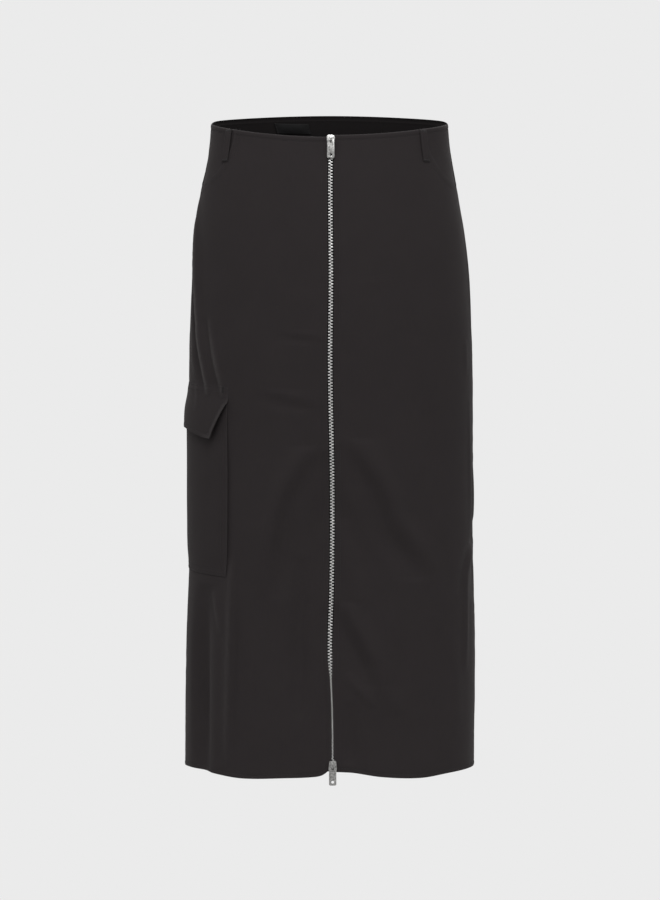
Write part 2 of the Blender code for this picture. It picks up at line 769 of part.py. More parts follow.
def main():
    clear_scene()
    skirt = collection("straight_midi_skirt")
    helpers = collection("cutters", shown=False)
    cloth = material("charcoal_twill", (0.024, 0.023, 0.024), 0.82)
    tape = material("zip_tape", (0.016, 0.016, 0.017), 0.9)
    metal = material("zip_metal", (0.62, 0.62, 0.61), 0.32, metallic=1.0)
    woven = material("label_satin", (0.02, 0.02, 0.02), 0.6)

    front("front_right", RIGHT, cloth, skirt)
    front("front_left", LEFT, cloth, skirt)
    back(cloth, skirt)
    hip_facing("hip_facing_right", RIGHT, cloth, skirt)
    hip_facing("hip_facing_left", LEFT, cloth, skirt)
    cargo_pocket(cloth, skirt)
    cargo_flap(cloth, skirt)
    for loop in LOOPS:
        belt_loop(loop, cloth, skirt)
    label(woven, skirt)

    zip_tape("zip_tape_right", RIGHT, tape, skirt)
    zip_tape("zip_tape_left", LEFT, tape, skirt)
    zip_chain(metal, skirt)
    slider("zip_slider_top", SLIDER_TOP_HEIGHT, 1, metal, skirt, helpers)
    slider("zip_slider_bottom", SLIDER_BOTTOM_HEIGHT, -1, metal, skirt, helpers)
    pull("zip_pull_top", SLIDER_TOP_HEIGHT, PULL_LEAN, metal, skirt)
    pull("zip_pull_bottom", SLIDER_BOTTOM_HEIGHT, 0.0, metal, skirt)


main()
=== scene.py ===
"""Looks of a straight midi skirt in charcoal twill, filled out as worn, with a metal zip down its front.

Every cloth piece is a closed wall of its own, laid on the skirt's body and finished as it is sewn:
turned edges, rows of stitches, creases and wear, with painted highlights along sharp creases and painted
shade on the cloth's inner faces. Tables and functions are in millimetres, and MM turns
them into metres. The origin is the middle of the waist opening, the zip faces -Y and the wearer's left
is +X. A place on the cloth is its girth, the distance along the cloth from the front middle (positive
to the wearer's left, and on round the back), and its height.
"""

import math
from collections import namedtuple

import bmesh
import bpy
import numpy as np
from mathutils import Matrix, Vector


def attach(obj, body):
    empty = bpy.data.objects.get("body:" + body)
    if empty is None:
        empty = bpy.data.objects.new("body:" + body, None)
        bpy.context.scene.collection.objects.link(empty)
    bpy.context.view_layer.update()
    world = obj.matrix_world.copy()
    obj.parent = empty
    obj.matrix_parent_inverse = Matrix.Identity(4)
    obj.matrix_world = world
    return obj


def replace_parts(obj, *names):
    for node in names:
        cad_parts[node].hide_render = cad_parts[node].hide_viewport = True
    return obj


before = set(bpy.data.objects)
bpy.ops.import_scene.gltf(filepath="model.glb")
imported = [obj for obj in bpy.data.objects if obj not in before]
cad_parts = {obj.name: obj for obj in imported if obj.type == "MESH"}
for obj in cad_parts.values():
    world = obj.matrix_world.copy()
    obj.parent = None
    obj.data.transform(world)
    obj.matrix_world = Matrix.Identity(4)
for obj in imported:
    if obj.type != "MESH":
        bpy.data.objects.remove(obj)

MM = 0.001
RIGHT, LEFT = -1, 1

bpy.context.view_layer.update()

# ---------------------------------------------------------------- sizes of the body, as in its solids

Section = namedtuple("Section", "height right_half left_half front back squareness")
SECTIONS = [
    Section(30, 137.5, 136.5, 88, 88, 2.10),
    Section(0, 140.0, 139.0, 91, 91, 2.10),
    Section(-33, 142.8, 141.8, 95, 97, 2.10),
    Section(-75, 150.5, 149.0, 101, 106, 2.10),
    Section(-132, 159.0, 158.2, 107, 116, 2.12),
    Section(-189, 162.8, 163.8, 110, 120, 2.15),
    Section(-274, 166.0, 167.3, 111, 120, 2.20),
    Section(-387, 165.6, 168.7, 109, 118, 2.20),
    Section(-500, 165.4, 168.7, 108, 117, 2.25),
    Section(-614, 169.0, 170.8, 108, 116, 2.30),
    Section(-770, 171.0, 169.0, 108, 115, 2.40),
]

ZipPlace = namedtuple("ZipPlace", "height aside")
ZIP_LINE = [
    ZipPlace(0, 1.2),
    ZipPlace(-90, 0.4),
    ZipPlace(-190, 1.1),
    ZipPlace(-290, 0.2),
    ZipPlace(-430, 2.6),
    ZipPlace(-535, 2.0),
    ZipPlace(-610, -0.1),
    ZipPlace(-685, 2.5),
    ZipPlace(-760, 3.2),
]

HemPlace = namedtuple("HemPlace", "share right left")
HEM = [
    HemPlace(0.00, -750.0, -752.6),
    HemPlace(0.04, -756.5, -752.9),
    HemPlace(0.10, -758.6, -753.6),
    HemPlace(0.24, -759.4, -758.0),
    HemPlace(0.45, -760.3, -760.0),
    HemPlace(0.62, -756.5, -756.6),
    HemPlace(0.80, -753.4, -754.8),
    HemPlace(1.00, -755.0, -755.0),
]

WALL = 1.2
SEAM_GAP = -0.12  # below 0, as the panels' edges overlap there and let no light through
PATCH_GAP = 0.5
TAPE_GAP = 0.6
WAIST_DIP = {RIGHT: 26.5, LEFT: 24.3}
WAIST_RISE = 21.0
BACK_HEM_DROP = 3.0
FRONT_WIDTH, FRONT_LENGTH = 222, 757  # nominal, for the panels' grids
BACK_WIDTH, BACK_LENGTH = 452, 772
FRONT_EDGE = 3.4

MOUTH_WIDTH = 70.0
MOUTH_SHARE = 0.098
FACING_GAP = 0.15
FACING_UNDER = 12.0
FACING_LENGTH = 1.18
FACING_RISE = (5.0, 28.0)
FACING_SINK = (0.5, 0.8)
FACING_LEVEL = 0.85

POCKET_FRONT, POCKET_BACK = 100.0, -90.0
POCKET_WIDTH = 190
POCKET_TOP = -312.0
POCKET_DEPTH = 210.0
POCKET_TILT = 0.085
POCKET_LIFT = 1.4
POCKET_EDGE_LIFT = 2.2
POCKET_EDGE_REACH = 30.0
POCKET_SEWN_EDGE = 6.0
FLAP_TOP = -303.0
FLAP_HINGE = 7.0
FLAP_SUNK = 0.3  # its outer face at its seam, where it turns down
FLAP_CURL = 2.0  # of its clipped front edge, away from the pocket
FLAP_CLIP_ACROSS, FLAP_CLIP_UP = 20.5, 43.0
FlapEdge = namedtuple("FlapEdge", "across drop lift")
FLAP = [
    FlapEdge(-91.5, 58.0, 3.0),
    FlapEdge(-66.0, 60.0, 3.2),
    FlapEdge(-20.0, 54.0, 1.6),
    FlapEdge(25.0, 54.0, 1.6),
    FlapEdge(66.0, 61.0, 2.8),
    FlapEdge(101.5, 62.0, 7.5),
]

Loop = namedtuple("Loop", "name panel share")
LOOPS = [
    Loop("belt_loop_front_right", "right", 0.675),
    Loop("belt_loop_front_left", "left", 0.61),
    Loop("belt_loop_back_left", "back", 0.22),
    Loop("belt_loop_back_middle", "back", 0.50),
    Loop("belt_loop_back_right", "back", 0.78),
]
LOOP_WIDTH, LOOP_LENGTH = 10.0, 38.0
LOOP_STANDOFF = 0.9
LOOP_FLAT = 0.95  # outer face at its sewn ends
LOOP_ARCH = (1.35, 0.6)
LOOP_BELOW_EDGE = 1.0

LABEL_MIDDLE = 413.0
LABEL_WIDTH, LABEL_HEIGHT = 43.0, 12.0
LABEL_BELOW_EDGE = 9.0

TAPE_OUTER_EDGE = 14.0
TAPE_INNER_EDGE = 0.15
TAPE_END = -752.0
TAPE_SPREAD = 1.9
SPREAD_LENGTH = 9.0
SLIDER_TOP_HEIGHT, SLIDER_BOTTOM_HEIGHT = -31.0, -746.0
CHAIN_ALONG = 1.9

# ---------------------------------------------------------------- folds and creases

Fold = namedtuple("Fold", "top_girth top_height low_girth low_height width relief")
FOLDS = [
    Fold(-194, -90, -186, -290, 10, 2.2),
    Fold(-186, -262, -176, -302, 9, 1.6),
    Fold(-168, -240, -140, -306, 10, 1.8),
    Fold(-124, -516, -133, -735, 13, 2.6),
    Fold(-172, -590, -168, -705, 10, -2.2),
    Fold(52, -634, 78, -688, 13, 1.6),
    Fold(216, -462, 200, -560, 12, -2.4),
    Fold(205, -400, 210, -470, 9, 1.6),
    Fold(300, -250, 290, -700, 26, -2.6),
    Fold(430, -300, 446, -690, 24, -2.4),
    Fold(520, -330, 506, -620, 14, 2.0),
]
HOLLOW_DEPTH = 11.0
HOLLOW_WIDTH = 62.0
HOLLOW_TOP = -365.0
HOLLOW_SPREAD = 1.35
HOLLOW_LENGTH = 95.0

# A crease follows a path of places, each a girth and a height. It rises in its middle, and falls back on
# one side of its path and comes forward on the other. A sharp one also gets a painted highlight along its
# crest, a paler line of colour that stands for wear as well.
Crease = namedtuple("Crease", "path width rise fall rubbed", defaults=(0, 0))
CREASES = [
    # right hip, down into the flap
    Crease([(-203, -58), (-191, -120), (-184, -164), (-178, -204)], 7, 1.5, 0.8, 0.3),
    Crease([(-189, -112), (-183, -150), (-180, -187), (-176, -222), (-169, -257), (-160, -290), (-152, -322)],
           4.8, 4.8, 2.0, 5.0),
    Crease([(-152, -232), (-143, -272), (-136, -296), (-128, -326)], 4, 3.2, 0.8, 1.4),
    Crease([(-174, -246), (-165, -280), (-154, -312)], 6, 1.5),
    Crease([(-131, -258), (-130, -294)], 5, 0.9),
    Crease([(-176, -306), (-170, -322), (-168, -338)], 5, 0.9, 0.3),
    Crease([(-146, -318), (-141, -332), (-140, -346)], 5, 0.7, 0.3),
    # below the cargo pocket
    Crease([(-117, -508), (-119, -560), (-119, -603), (-121, -672), (-124, -750)], 5, 4.6, -1.4, 0.7),
    Crease([(-142, -546), (-127, -598)], 5.5, 2.4, 0.6, 0.3),
    Crease([(-156, -540), (-161, -616), (-161, -684), (-158, -790)], 15, -11.0),
    Crease([(-96, -580), (-88, -640), (-92, -705)], 9, 0.9),
    # the front: two arms that fall from the zip, and the softer folds between and below them
    Crease([(14, -374), (38.5, -407), (60, -441), (71, -475), (95, -505), (118, -532)], 11.5, -2.0, 4.4),
    Crease([(-10, -384), (-31, -407), (-45, -430), (-54, -452), (-62, -493), (-67, -556)], 10.5, -1.6, -4.0),
    Crease([(-34, -508), (-35, -555), (-36, -601), (-35, -692)], 12, -4.6),
    Crease([(14, -464), (21, -510), (30, -560)], 13, 3.0),
    Crease([(7, -560), (32, -607), (58, -656)], 10, -1.4, 3.4),
    Crease([(18, -641), (37, -660), (52, -679)], 7, 2.2),
    Crease([(25, -672), (23, -744)], 10, -3.2),
    Crease([(-62, -250), (-31, -256), (-3, -264)], 6, 0.0, 0.9),
    Crease([(-86, -318), (-46, -328), (-10, -339)], 7, 0.0, 1.0),
    Crease([(12, -214), (44, -198), (78, -190)], 9, 0.3, 0.2),
    Crease([(-5.5, -85), (-5.5, -265)], 2.5, -0.35),
    # left side
    Crease([(226, -484), (195, -497), (178, -516), (164, -556)], 5.5, -0.8, 1.5),
    Crease([(180, -528), (176, -580), (174, -642)], 7, 2.2),
    Crease([(190, -322), (192, -408), (192, -480)], 6, 1.2),
    Crease([(180, -254), (181, -298)], 6, 0.9),
    Crease([(201, -106), (207, -170), (204, -250)], 8, 1.3),
    Crease([(150, -590), (156, -648), (158, -712)], 11, 1.1),
    # back: drags below the seat, and long folds down to the hem
    Crease([(262, -112), (264, -170), (250, -238)], 8, 1.8, 0.8),
    Crease([(304, -140), (316, -206), (336, -268)], 9, -1.2, 1.1),
    Crease([(340, -198), (382, -214), (424, -216)], 8, 0.5, 1.3),
    Crease([(386, -246), (436, -266), (486, -262)], 9, -0.3, -1.4),
    Crease([(442, -222), (480, -212), (520, -204)], 8, 0.6, 1.1),
    Crease([(330, -286), (344, -360), (372, -440)], 12, -1.4, 2.2),
    Crease([(570, -276), (553, -352), (528, -446)], 12, -1.2, -2.3),
    Crease([(404, -330), (446, -342), (494, -334)], 10, 0.4, 1.3),
    Crease([(598, -134), (610, -214), (630, -306)], 8, 1.9, -0.9),
    Crease([(644, -214), (652, -280), (663, -344)], 6, 1.8),
    Crease([(270, -540), (284, -630), (306, -760)], 13, 2.6, 0.9),
    Crease([(400, -500), (388, -616), (374, -770)], 15, -3.2, 1.4),
    Crease([(474, -560), (490, -650), (508, -770)], 12, 2.4, -1.0),
    Crease([(592, -500), (577, -600), (556, -760)], 14, -3.0, 1.2),
    Crease([(640, -580), (648, -660), (652, -760)], 9, 2.2),
]
# Unevenness of worn cloth: size round and down the skirt, and depth.
Ripple = namedtuple("Ripple", "around down depth seed")
RIPPLES = [Ripple(62, 105, 0.42, 11), Ripple(27, 44, 0.14, 12), Ripple(10, 13, 0.035, 13)]
CREST_HIGHLIGHT_WIDTH = 2.4  # half the width of a crest's painted highlight, a paler line
NOISE_ROUND = 910  # nominal, for noise that joins up round the skirt
NOISE_LOWEST, NOISE_TALL = -800, 900

# ---------------------------------------------------------------- the body's surface, on whole arrays

STEP = 2.0
HEIGHTS = np.arange(-790.0, 41.0, STEP)
GIRTHS = np.arange(-334.0, 726.0, STEP)
ANGLES = np.radians(np.arange(-276.0, 276.1, 0.5))


def put_in_scene(name, data):
    made = bpy.data.objects.new(name, data)
    bpy.context.scene.collection.objects.link(made)
    return made


def smoothstep(low, high, value):
    share = np.clip((value - low) / (high - low), 0.0, 1.0)
    return share * share * (3 - 2 * share)


def bell(off, width):
    return np.exp(-((off / width) ** 2))


def crest(off):
    """A round ridge: 1 on its line, and 0 from two widths away."""
    return np.cos(np.pi / 4 * np.clip(off, -2, 2)) ** 4


def read(table, key, column, at):
    """A smooth curve through one column of a table, read at every value of its key."""
    rows = sorted(table, key=lambda row: getattr(row, key))
    stations = np.array([getattr(row, key) for row in rows], float)
    values = np.array([getattr(row, column) for row in rows], float)
    index = np.arange(len(rows))
    before, after = np.maximum(index - 1, 0), np.minimum(index + 1, len(rows) - 1)
    slopes = (values[after] - values[before]) / (stations[after] - stations[before])
    at = np.asarray(at, float)
    here = np.clip(np.searchsorted(stations, at) - 1, 0, len(rows) - 2)
    span = stations[here + 1] - stations[here]
    share = np.clip((at - stations[here]) / span, 0.0, 1.0)
    return (
        (2 * share**3 - 3 * share**2 + 1) * values[here]
        + (share**3 - 2 * share**2 + share) * slopes[here] * span
        + (3 * share**2 - 2 * share**3) * values[here + 1]
        + (share**3 - share**2) * slopes[here + 1] * span
    )


def plain_body():
    """The body before any fold, as places on a grid of heights and girths, and the seams' girths."""
    right, left, front, back, power = (
        read(SECTIONS, "height", column, HEIGHTS)[:, None] for column in Section._fields[1:]
    )
    sine, cosine = np.sin(ANGLES)[None], np.cos(ANGLES)[None]
    half = np.where(sine < 0, right, left)
    depth = np.where(cosine > 0, front, back)
    reach = (np.abs(sine / half) ** power + np.abs(cosine / depth) ** power) ** (-1 / power)
    x, y = reach * sine, -reach * cosine
    steps = np.hypot(np.diff(x, axis=1), np.diff(y, axis=1))
    girth = np.concatenate([np.zeros((len(HEIGHTS), 1)), np.cumsum(steps, axis=1)], axis=1)
    girth -= girth[:, len(ANGLES) // 2][:, None]
    places = np.empty((len(HEIGHTS), len(GIRTHS), 3))
    for row, height in enumerate(HEIGHTS):
        places[row, :, 0] = np.interp(GIRTHS, girth[row], x[row])
        places[row, :, 1] = np.interp(GIRTHS, girth[row], y[row])
        places[row, :, 2] = height
    seams = {turn: [np.interp(math.radians(turn), ANGLES, row) for row in girth] for turn in (-90, 90, 270)}
    return places, seams


PLACES, SEAMS = plain_body()
NORMALS = np.cross(np.gradient(PLACES, axis=1), np.gradient(PLACES, axis=0))
NORMALS /= np.maximum(np.linalg.norm(NORMALS, axis=2, keepdims=True), 1e-9)


def sample(table, girth, height):
    across = np.clip((girth - GIRTHS[0]) / STEP, 0, len(GIRTHS) - 1.001)
    up = np.clip((height - HEIGHTS[0]) / STEP, 0, len(HEIGHTS) - 1.001)
    column, row = across.astype(int), up.astype(int)
    u, v = (across - column)[..., None], (up - row)[..., None]
    low = table[row, column] * (1 - u) + table[row, column + 1] * u
    high = table[row + 1, column] * (1 - u) + table[row + 1, column + 1] * u
    return low * (1 - v) + high * v


def seam_girth(turn, height):
    return np.interp(height, HEIGHTS, SEAMS[turn])


def side_girth(side, height):
    return seam_girth(90 * side, height)


def all_round(height):
    return seam_girth(270, height) - seam_girth(-90, height)


def hollow(girth, height):
    """How far the front falls back beside the zip."""
    start = -HOLLOW_TOP + HOLLOW_SPREAD * np.abs(girth)
    return HOLLOW_DEPTH * bell(girth, HOLLOW_WIDTH) * smoothstep(0, HOLLOW_LENGTH, -height - start)


def soft_noise(girth, height, around, down, seed):
    """Smooth noise from -1 to 1 that joins up round the skirt."""
    columns, rows = round(NOISE_ROUND / around), round(NOISE_TALL / down) + 2
    lattice = np.random.default_rng(seed).uniform(-1, 1, (columns, rows))
    across = (girth / all_round(height)) % 1 * columns
    up = np.clip((height - NOISE_LOWEST) / down, 0, rows - 1.001)
    column, row = np.floor(across).astype(int), np.floor(up).astype(int)
    u, v = smoothstep(0, 1, across - column), smoothstep(0, 1, up - row)
    here, beside = column % columns, (column + 1) % columns
    low = lattice[here, row] * (1 - u) + lattice[beside, row] * u
    high = lattice[here, row + 1] * (1 - u) + lattice[beside, row + 1] * u
    return low * (1 - v) + high * v


def rounded(path):
    """A path with its corners cut twice, so that it bends softly."""
    path = np.array(path, float)
    for _ in range(2):
        early, late = 0.75 * path[:-1] + 0.25 * path[1:], 0.25 * path[:-1] + 0.75 * path[1:]
        path = np.concatenate([path[:1], np.stack([early, late], 1).reshape(-1, 2), path[-1:]])
    return path


def creased(crease, girth, height):
    """How far a crease moves each place, and the painted highlight on its crest, given the girths and heights
    as lists.
    """
    path = rounded(crease.path)
    travelled = np.concatenate([[0], np.cumsum(np.hypot(*np.diff(path, axis=0).T))])
    nearest, aside, along = np.full(girth.shape, 1e6), np.zeros(girth.shape), np.zeros(girth.shape)
    for start, end, before in zip(path, path[1:], travelled):
        run = end - start
        length = math.hypot(*run)
        off = girth - start[0], height - start[1]
        share = np.clip((off[0] * run[0] + off[1] * run[1]) / length**2, 0, 1)
        distance = np.hypot(off[0] - share * run[0], off[1] - share * run[1])
        closer = distance < nearest
        nearest = np.where(closer, distance, nearest)
        aside = np.where(closer, np.sign(off[0] * run[1] - off[1] * run[0]) * distance, aside)
        along = np.where(closer, before + share * length, along)
    off = aside / crease.width
    swell = crease.rise * crest(off)
    step = -crease.fall * off * np.exp(0.5 - off**2 / 2)
    fade = np.sin(np.pi * np.clip(along / travelled[-1], 0, 1)) ** 0.6
    return (swell + step) * fade, crease.rubbed * fade * bell(aside, CREST_HIGHLIGHT_WIDTH)


def relief(girth, height):
    """The folds, creases and unevenness at each place, out from the plain body, and the painted highlight
    along sharp crests.
    """
    around = all_round(height)
    rubbed = np.zeros(girth.shape)

    def wrapped(off):
        return (off + around / 2) % around - around / 2

    total = -hollow(wrapped(girth), height)
    for fold in FOLDS:
        share = np.clip((fold.top_height - height) / (fold.top_height - fold.low_height), 0, 1)
        off = wrapped(girth - fold.top_girth - (fold.low_girth - fold.top_girth) * share)
        across = crest(off / fold.width)
        total += fold.relief * across * np.sin(np.pi * share) ** 0.6
    for crease in CREASES:
        path = np.array(crease.path)
        reach = 3.2 * crease.width
        here = path[0][0] + wrapped(girth - path[0][0])
        near = (here > path[:, 0].min() - reach) & (here < path[:, 0].max() + reach)
        near &= (height > path[:, 1].min()) & (height < path[:, 1].max())
        if near.any():
            moved, paler = creased(crease, here[near], height[near])
            total[near] += moved
            rubbed[near] += paler
    for ripple in RIPPLES:
        total += ripple.depth * soft_noise(girth, height, ripple.around, ripple.down, ripple.seed)
    return total, rubbed


def skin(girth, height, out=0.0):
    """Points of the cloth's outer face, moved out along the body's normal."""
    girth, height = np.broadcast_arrays(np.asarray(girth, float), np.asarray(height, float))
    out = np.asarray(out) + relief(girth, height)[0]
    return sample(PLACES, girth, height) + sample(NORMALS, girth, height) * out[..., None]


def outward(girth, height):
    return sample(NORMALS, np.asarray(girth, float), np.asarray(height, float))


def zip_girth(height):
    return read(ZIP_LINE, "height", "aside", height)


# ---------------------------------------------------------------- edges of the panels


def front_top(side, share):
    return -WAIST_DIP[side] * np.cos(np.pi / 2 * np.minimum(share, 1.0)) ** 1.1


def front_hem(side, share):
    return read(HEM, "share", "right" if side == RIGHT else "left", share)


def back_top(share):
    return WAIST_RISE * np.sin(np.pi * np.clip(share, 0.0, 1.0)) ** 0.75


def back_hem(share):
    return HEM[-1].left - BACK_HEM_DROP * np.sin(np.pi * share)


ZIP_CLOSES, ZIP_CLOSED, ZIP_OPENS, ZIP_OPEN = -600, -655, -735, -748
CLOSING_NARROWS, CLOSING_LIFTS = 2.5, 1.9


def zip_closing(height):
    """Near the hem the front edges close over the teeth."""
    return smoothstep(ZIP_CLOSES, ZIP_CLOSED, height) * smoothstep(ZIP_OPEN, ZIP_OPENS, height)


def front_girth(side, share, height):
    inner = zip_girth(height) + side * (FRONT_EDGE - CLOSING_NARROWS * zip_closing(height))
    outer = side_girth(side, height) - side * SEAM_GAP / 2
    return inner + (outer - inner) * share


def front_place(side, share, down):
    height = front_top(side, share) * (1 - down) + front_hem(side, share) * down
    return front_girth(side, share, height), height


def back_girth(share, height):
    start = side_girth(LEFT, height) + SEAM_GAP / 2
    return start + (seam_girth(270, height) - SEAM_GAP / 2 - start) * share


def mouth_share(down, width=MOUTH_WIDTH, length=MOUTH_SHARE, narrowest=0.0):
    left = np.maximum(1 - (down / length) ** 2, 0.0)
    return 1 - np.maximum(width * np.sqrt(left), narrowest) / side_girth(LEFT, 0)


def patch_place(across, down, top):
    """Girth and height on the cargo pocket's slanting patch."""
    height = top - down - POCKET_TILT * across
    return side_girth(RIGHT, height) + across, height


# ---------------------------------------------------------------- finishes


class Wiring:
    """A material with one shader, and the nodes that are added and joined to it."""

    def __init__(self, name, color, roughness, **sockets):
        self.finish = bpy.data.materials.new(name)
        self.finish.use_nodes = True
        self.tree = self.finish.node_tree
        self.shader = self.tree.nodes["Principled BSDF"]
        self.shader.inputs["Base Color"].default_value = (*color, 1)
        self.shader.inputs["Roughness"].default_value = roughness
        for socket, value in sockets.items():
            socket = socket.replace("_", " ").title().replace("Ior", "IOR")
            self.shader.inputs[socket].default_value = value

    def feed(self, socket, value):
        """Joins another node's output to a socket, or sets the socket to a plain value."""
        if isinstance(value, bpy.types.NodeSocket):
            self.tree.links.new(value, socket)
        else:
            socket.default_value = value

    def node(self, kind, settings=(), **sockets):
        made = self.tree.nodes.new(kind)
        for name, value in dict(settings).items():
            setattr(made, name, value)
        for name, value in sockets.items():
            self.feed(made.inputs[name], value)
        return made

    def cut(self):
        """A place on the flat piece, before it was sewn."""
        return self.node("ShaderNodeUVMap", {"uv_map": "cut"}).outputs["UV"]

    def place(self):
        return self.node("ShaderNodeTexCoord").outputs["Object"]

    def attribute(self, name):
        return self.node("ShaderNodeAttribute", {"attribute_name": name}).outputs["Fac"]

    def join(self, source, socket):
        self.tree.links.new(source, self.shader.inputs[socket])

    def math(self, operation, first, second, clamp=False):
        made = self.node("ShaderNodeMath", {"operation": operation, "use_clamp": clamp})
        self.feed(made.inputs[0], first)
        self.feed(made.inputs[1], second)
        return made.outputs[0]

    def added(self, total, *values):
        for value in values:
            total = self.math("ADD", total, value)
        return total

    def noise(self, vector, scale, detail=2.0, roughness=0.5):
        sockets = {"Vector": vector, "Scale": scale, "Detail": detail, "Roughness": roughness}
        return self.node("ShaderNodeTexNoise", **sockets).outputs["Fac"]

    def wave(self, vector, scale, direction, distortion=0.0):
        settings = {"wave_type": "BANDS", "bands_direction": direction}
        sockets = {"Vector": vector, "Scale": scale, "Distortion": distortion}
        return self.node("ShaderNodeTexWave", settings, **sockets).outputs["Fac"]

    def stretched(self, vector, scale):
        return self.node("ShaderNodeMapping", Vector=vector, Scale=scale).outputs["Vector"]

    def span(self, value, low, high, start=0.0, end=1.0):
        """A value that runs from start to end, brought to run from low to high."""
        sockets = {"From Min": start, "From Max": end, "To Min": low, "To Max": high}
        return self.node("ShaderNodeMapRange", Value=value, **sockets).outputs["Result"]

    def blend(self, share, first, second):
        made = self.node("ShaderNodeMix", {"data_type": "RGBA"})
        for socket, value in ((0, share), (6, first), (7, second)):
            self.feed(made.inputs[socket], (*value, 1) if isinstance(value, tuple) else value)
        return made.outputs[2]

    def bump(self, height, strength, distance, normal=None):
        sockets = {"Height": height, "Strength": strength, "Distance": distance}
        if normal is not None:
            sockets["Normal"] = normal
        return self.node("ShaderNodeBump", **sockets).outputs["Normal"]


TWILL_LINE = 0.8  # millimetres between two diagonal lines of the twill
YARN = 0.42  # and between two of its upright yarns


def wave_scale(period):
    """A wave texture's scale for bands of a period in millimetres, on coordinates in metres."""
    return math.tau / (10 * period * MM)


def twill(name, color, wear_and_highlight_color):
    """Matte cotton twill: fine diagonal lines, uneven yarns, faint cloudiness and paler worn edges. The paler
    colour is also painted highlight along sharp creases and the flap's clipped edge, and the inner face is
    darkened as painted shade.
    """
    wire = Wiring(
        name, color, 0.9,
        sheen_weight=0.025, sheen_roughness=0.4, sheen_tint=(1, 0.95, 0.93, 1), specular_ior_level=0.1,
    )
    cut, place = wire.cut(), wire.place()
    cloudy = wire.noise(place, 26, 4, 0.6)
    flecks = wire.noise(place, 900, 2, 0.7)
    slubs = wire.noise(wire.stretched(cut, (1700, 60, 1)), 1, 2, 0.6)
    lines = wire.wave(cut, wave_scale(TWILL_LINE * math.sqrt(2)), "DIAGONAL", 0.6)
    yarns = wire.wave(cut, wave_scale(YARN), "X", 1.2)
    shade = wire.added(
        wire.span(cloudy, -0.14, 0.14), wire.span(flecks, -0.1, 0.1),
        wire.span(slubs, -0.13, 0.13), wire.span(lines, -0.07, 0.07),
    )
    # Dark and light tones for random unevenness, and painted shade for the inner face, at 0.42 of the cloth's
    # colour.
    dark, light, painted_inner_shade = (tuple(share * part for part in color) for share in (0.62, 1.38, 0.42))
    base = wire.blend(wire.math("ADD", shade, 0.5, True), dark, light)
    # Paler worn colour near edges, at random strength. The same paler colour is painted highlight along sharp
    # creases and on the flap's clipped edge.
    patchy = wire.span(wire.noise(place, 240, 3, 0.7), 0.1, 0.9)
    rubbed = wire.math("MULTIPLY", wire.attribute("edge"), patchy)
    base = wire.blend(wire.math("MINIMUM", rubbed, 1.0), base, wear_and_highlight_color)
    # The inner face darkened: painted shade.
    wire.join(wire.blend(wire.attribute("inside"), base, painted_inner_shade), "Base Color")
    wire.join(wire.added(wire.span(cloudy, 0.8, 0.9), wire.span(flecks, -0.03, 0.03)), "Roughness")
    soft = wire.bump(cloudy, 0.12, 0.0012)
    woven = wire.bump(lines, 0.3, 0.00016, soft)
    wire.join(wire.bump(wire.added(yarns, slubs), 0.16, 0.00012, woven), "Normal")
    return wire.finish


def thread_finish():
    wire = Wiring("thread", (0.02, 0.018, 0.0185), 0.75, specular_ior_level=0.2)
    place = wire.place()
    fibres = wire.noise(place, 2600, 2, 0.6)
    wire.join(wire.blend(fibres, (0.016, 0.0145, 0.015), (0.03, 0.028, 0.0285)), "Base Color")
    wire.join(wire.bump(fibres, 0.5, 0.0001), "Normal")
    return wire.finish


def tape_finish():
    """Herringbone-woven zip tape with a rib beside the teeth."""
    wire = Wiring("zip_tape", (0.014, 0.0135, 0.014), 0.85, specular_ior_level=0.15)
    cut, place = wire.cut(), wire.place()
    ribs = wire.wave(cut, wave_scale(1.1), "X")
    rows = wire.wave(cut, wave_scale(0.55), "DIAGONAL")
    woven = wire.math("MULTIPLY", ribs, rows)
    fuzz = wire.noise(place, 1500, 2, 0.6)
    fuzzy = wire.math("MULTIPLY", woven, fuzz)
    wire.join(wire.blend(fuzzy, (0.009, 0.009, 0.009), (0.036, 0.035, 0.036)), "Base Color")
    wire.join(wire.bump(woven, 0.5, 0.0002), "Normal")
    return wire.finish


def metal_finish(name, dark, light, roughness):
    """Plated metal with fine handling marks, duller in random patches."""
    wire = Wiring(name, light, roughness[0], metallic=1.0)
    place = wire.place()
    dull = wire.span(wire.noise(place, 620, 4, 0.65), 0, 1, 0.34, 0.62)
    marks = wire.noise(wire.stretched(place, (900, 900, 9000)), 1, 2, 0.6)
    wire.join(wire.blend(dull, dark, light), "Base Color")
    worn_smooth, marked = wire.span(dull, roughness[1], roughness[0]), wire.span(marks, -0.05, 0.05)
    wire.join(wire.added(worn_smooth, marked), "Roughness")
    wire.join(wire.bump(marks, 0.12, 0.00006, wire.bump(dull, 0.25, 0.0001)), "Normal")
    return wire.finish


def label_finish():
    """Black woven satin."""
    wire = Wiring("label_satin", (0.02, 0.02, 0.021), 0.5, specular_ior_level=0.12)
    cut, place = wire.cut(), wire.place()
    threads = wire.wave(cut, wave_scale(0.3), "Y", 0.5)
    floats = wire.noise(wire.stretched(cut, (500, 4000, 1)), 1, 2, 0.6)
    wire.join(wire.blend(floats, (0.004, 0.004, 0.0043), (0.01, 0.0097, 0.01)), "Base Color")
    wire.join(wire.span(wire.noise(place, 300), 0.36, 0.5), "Roughness")
    wire.join(wire.bump(wire.added(threads, floats), 0.35, 0.0001), "Normal")
    return wire.finish


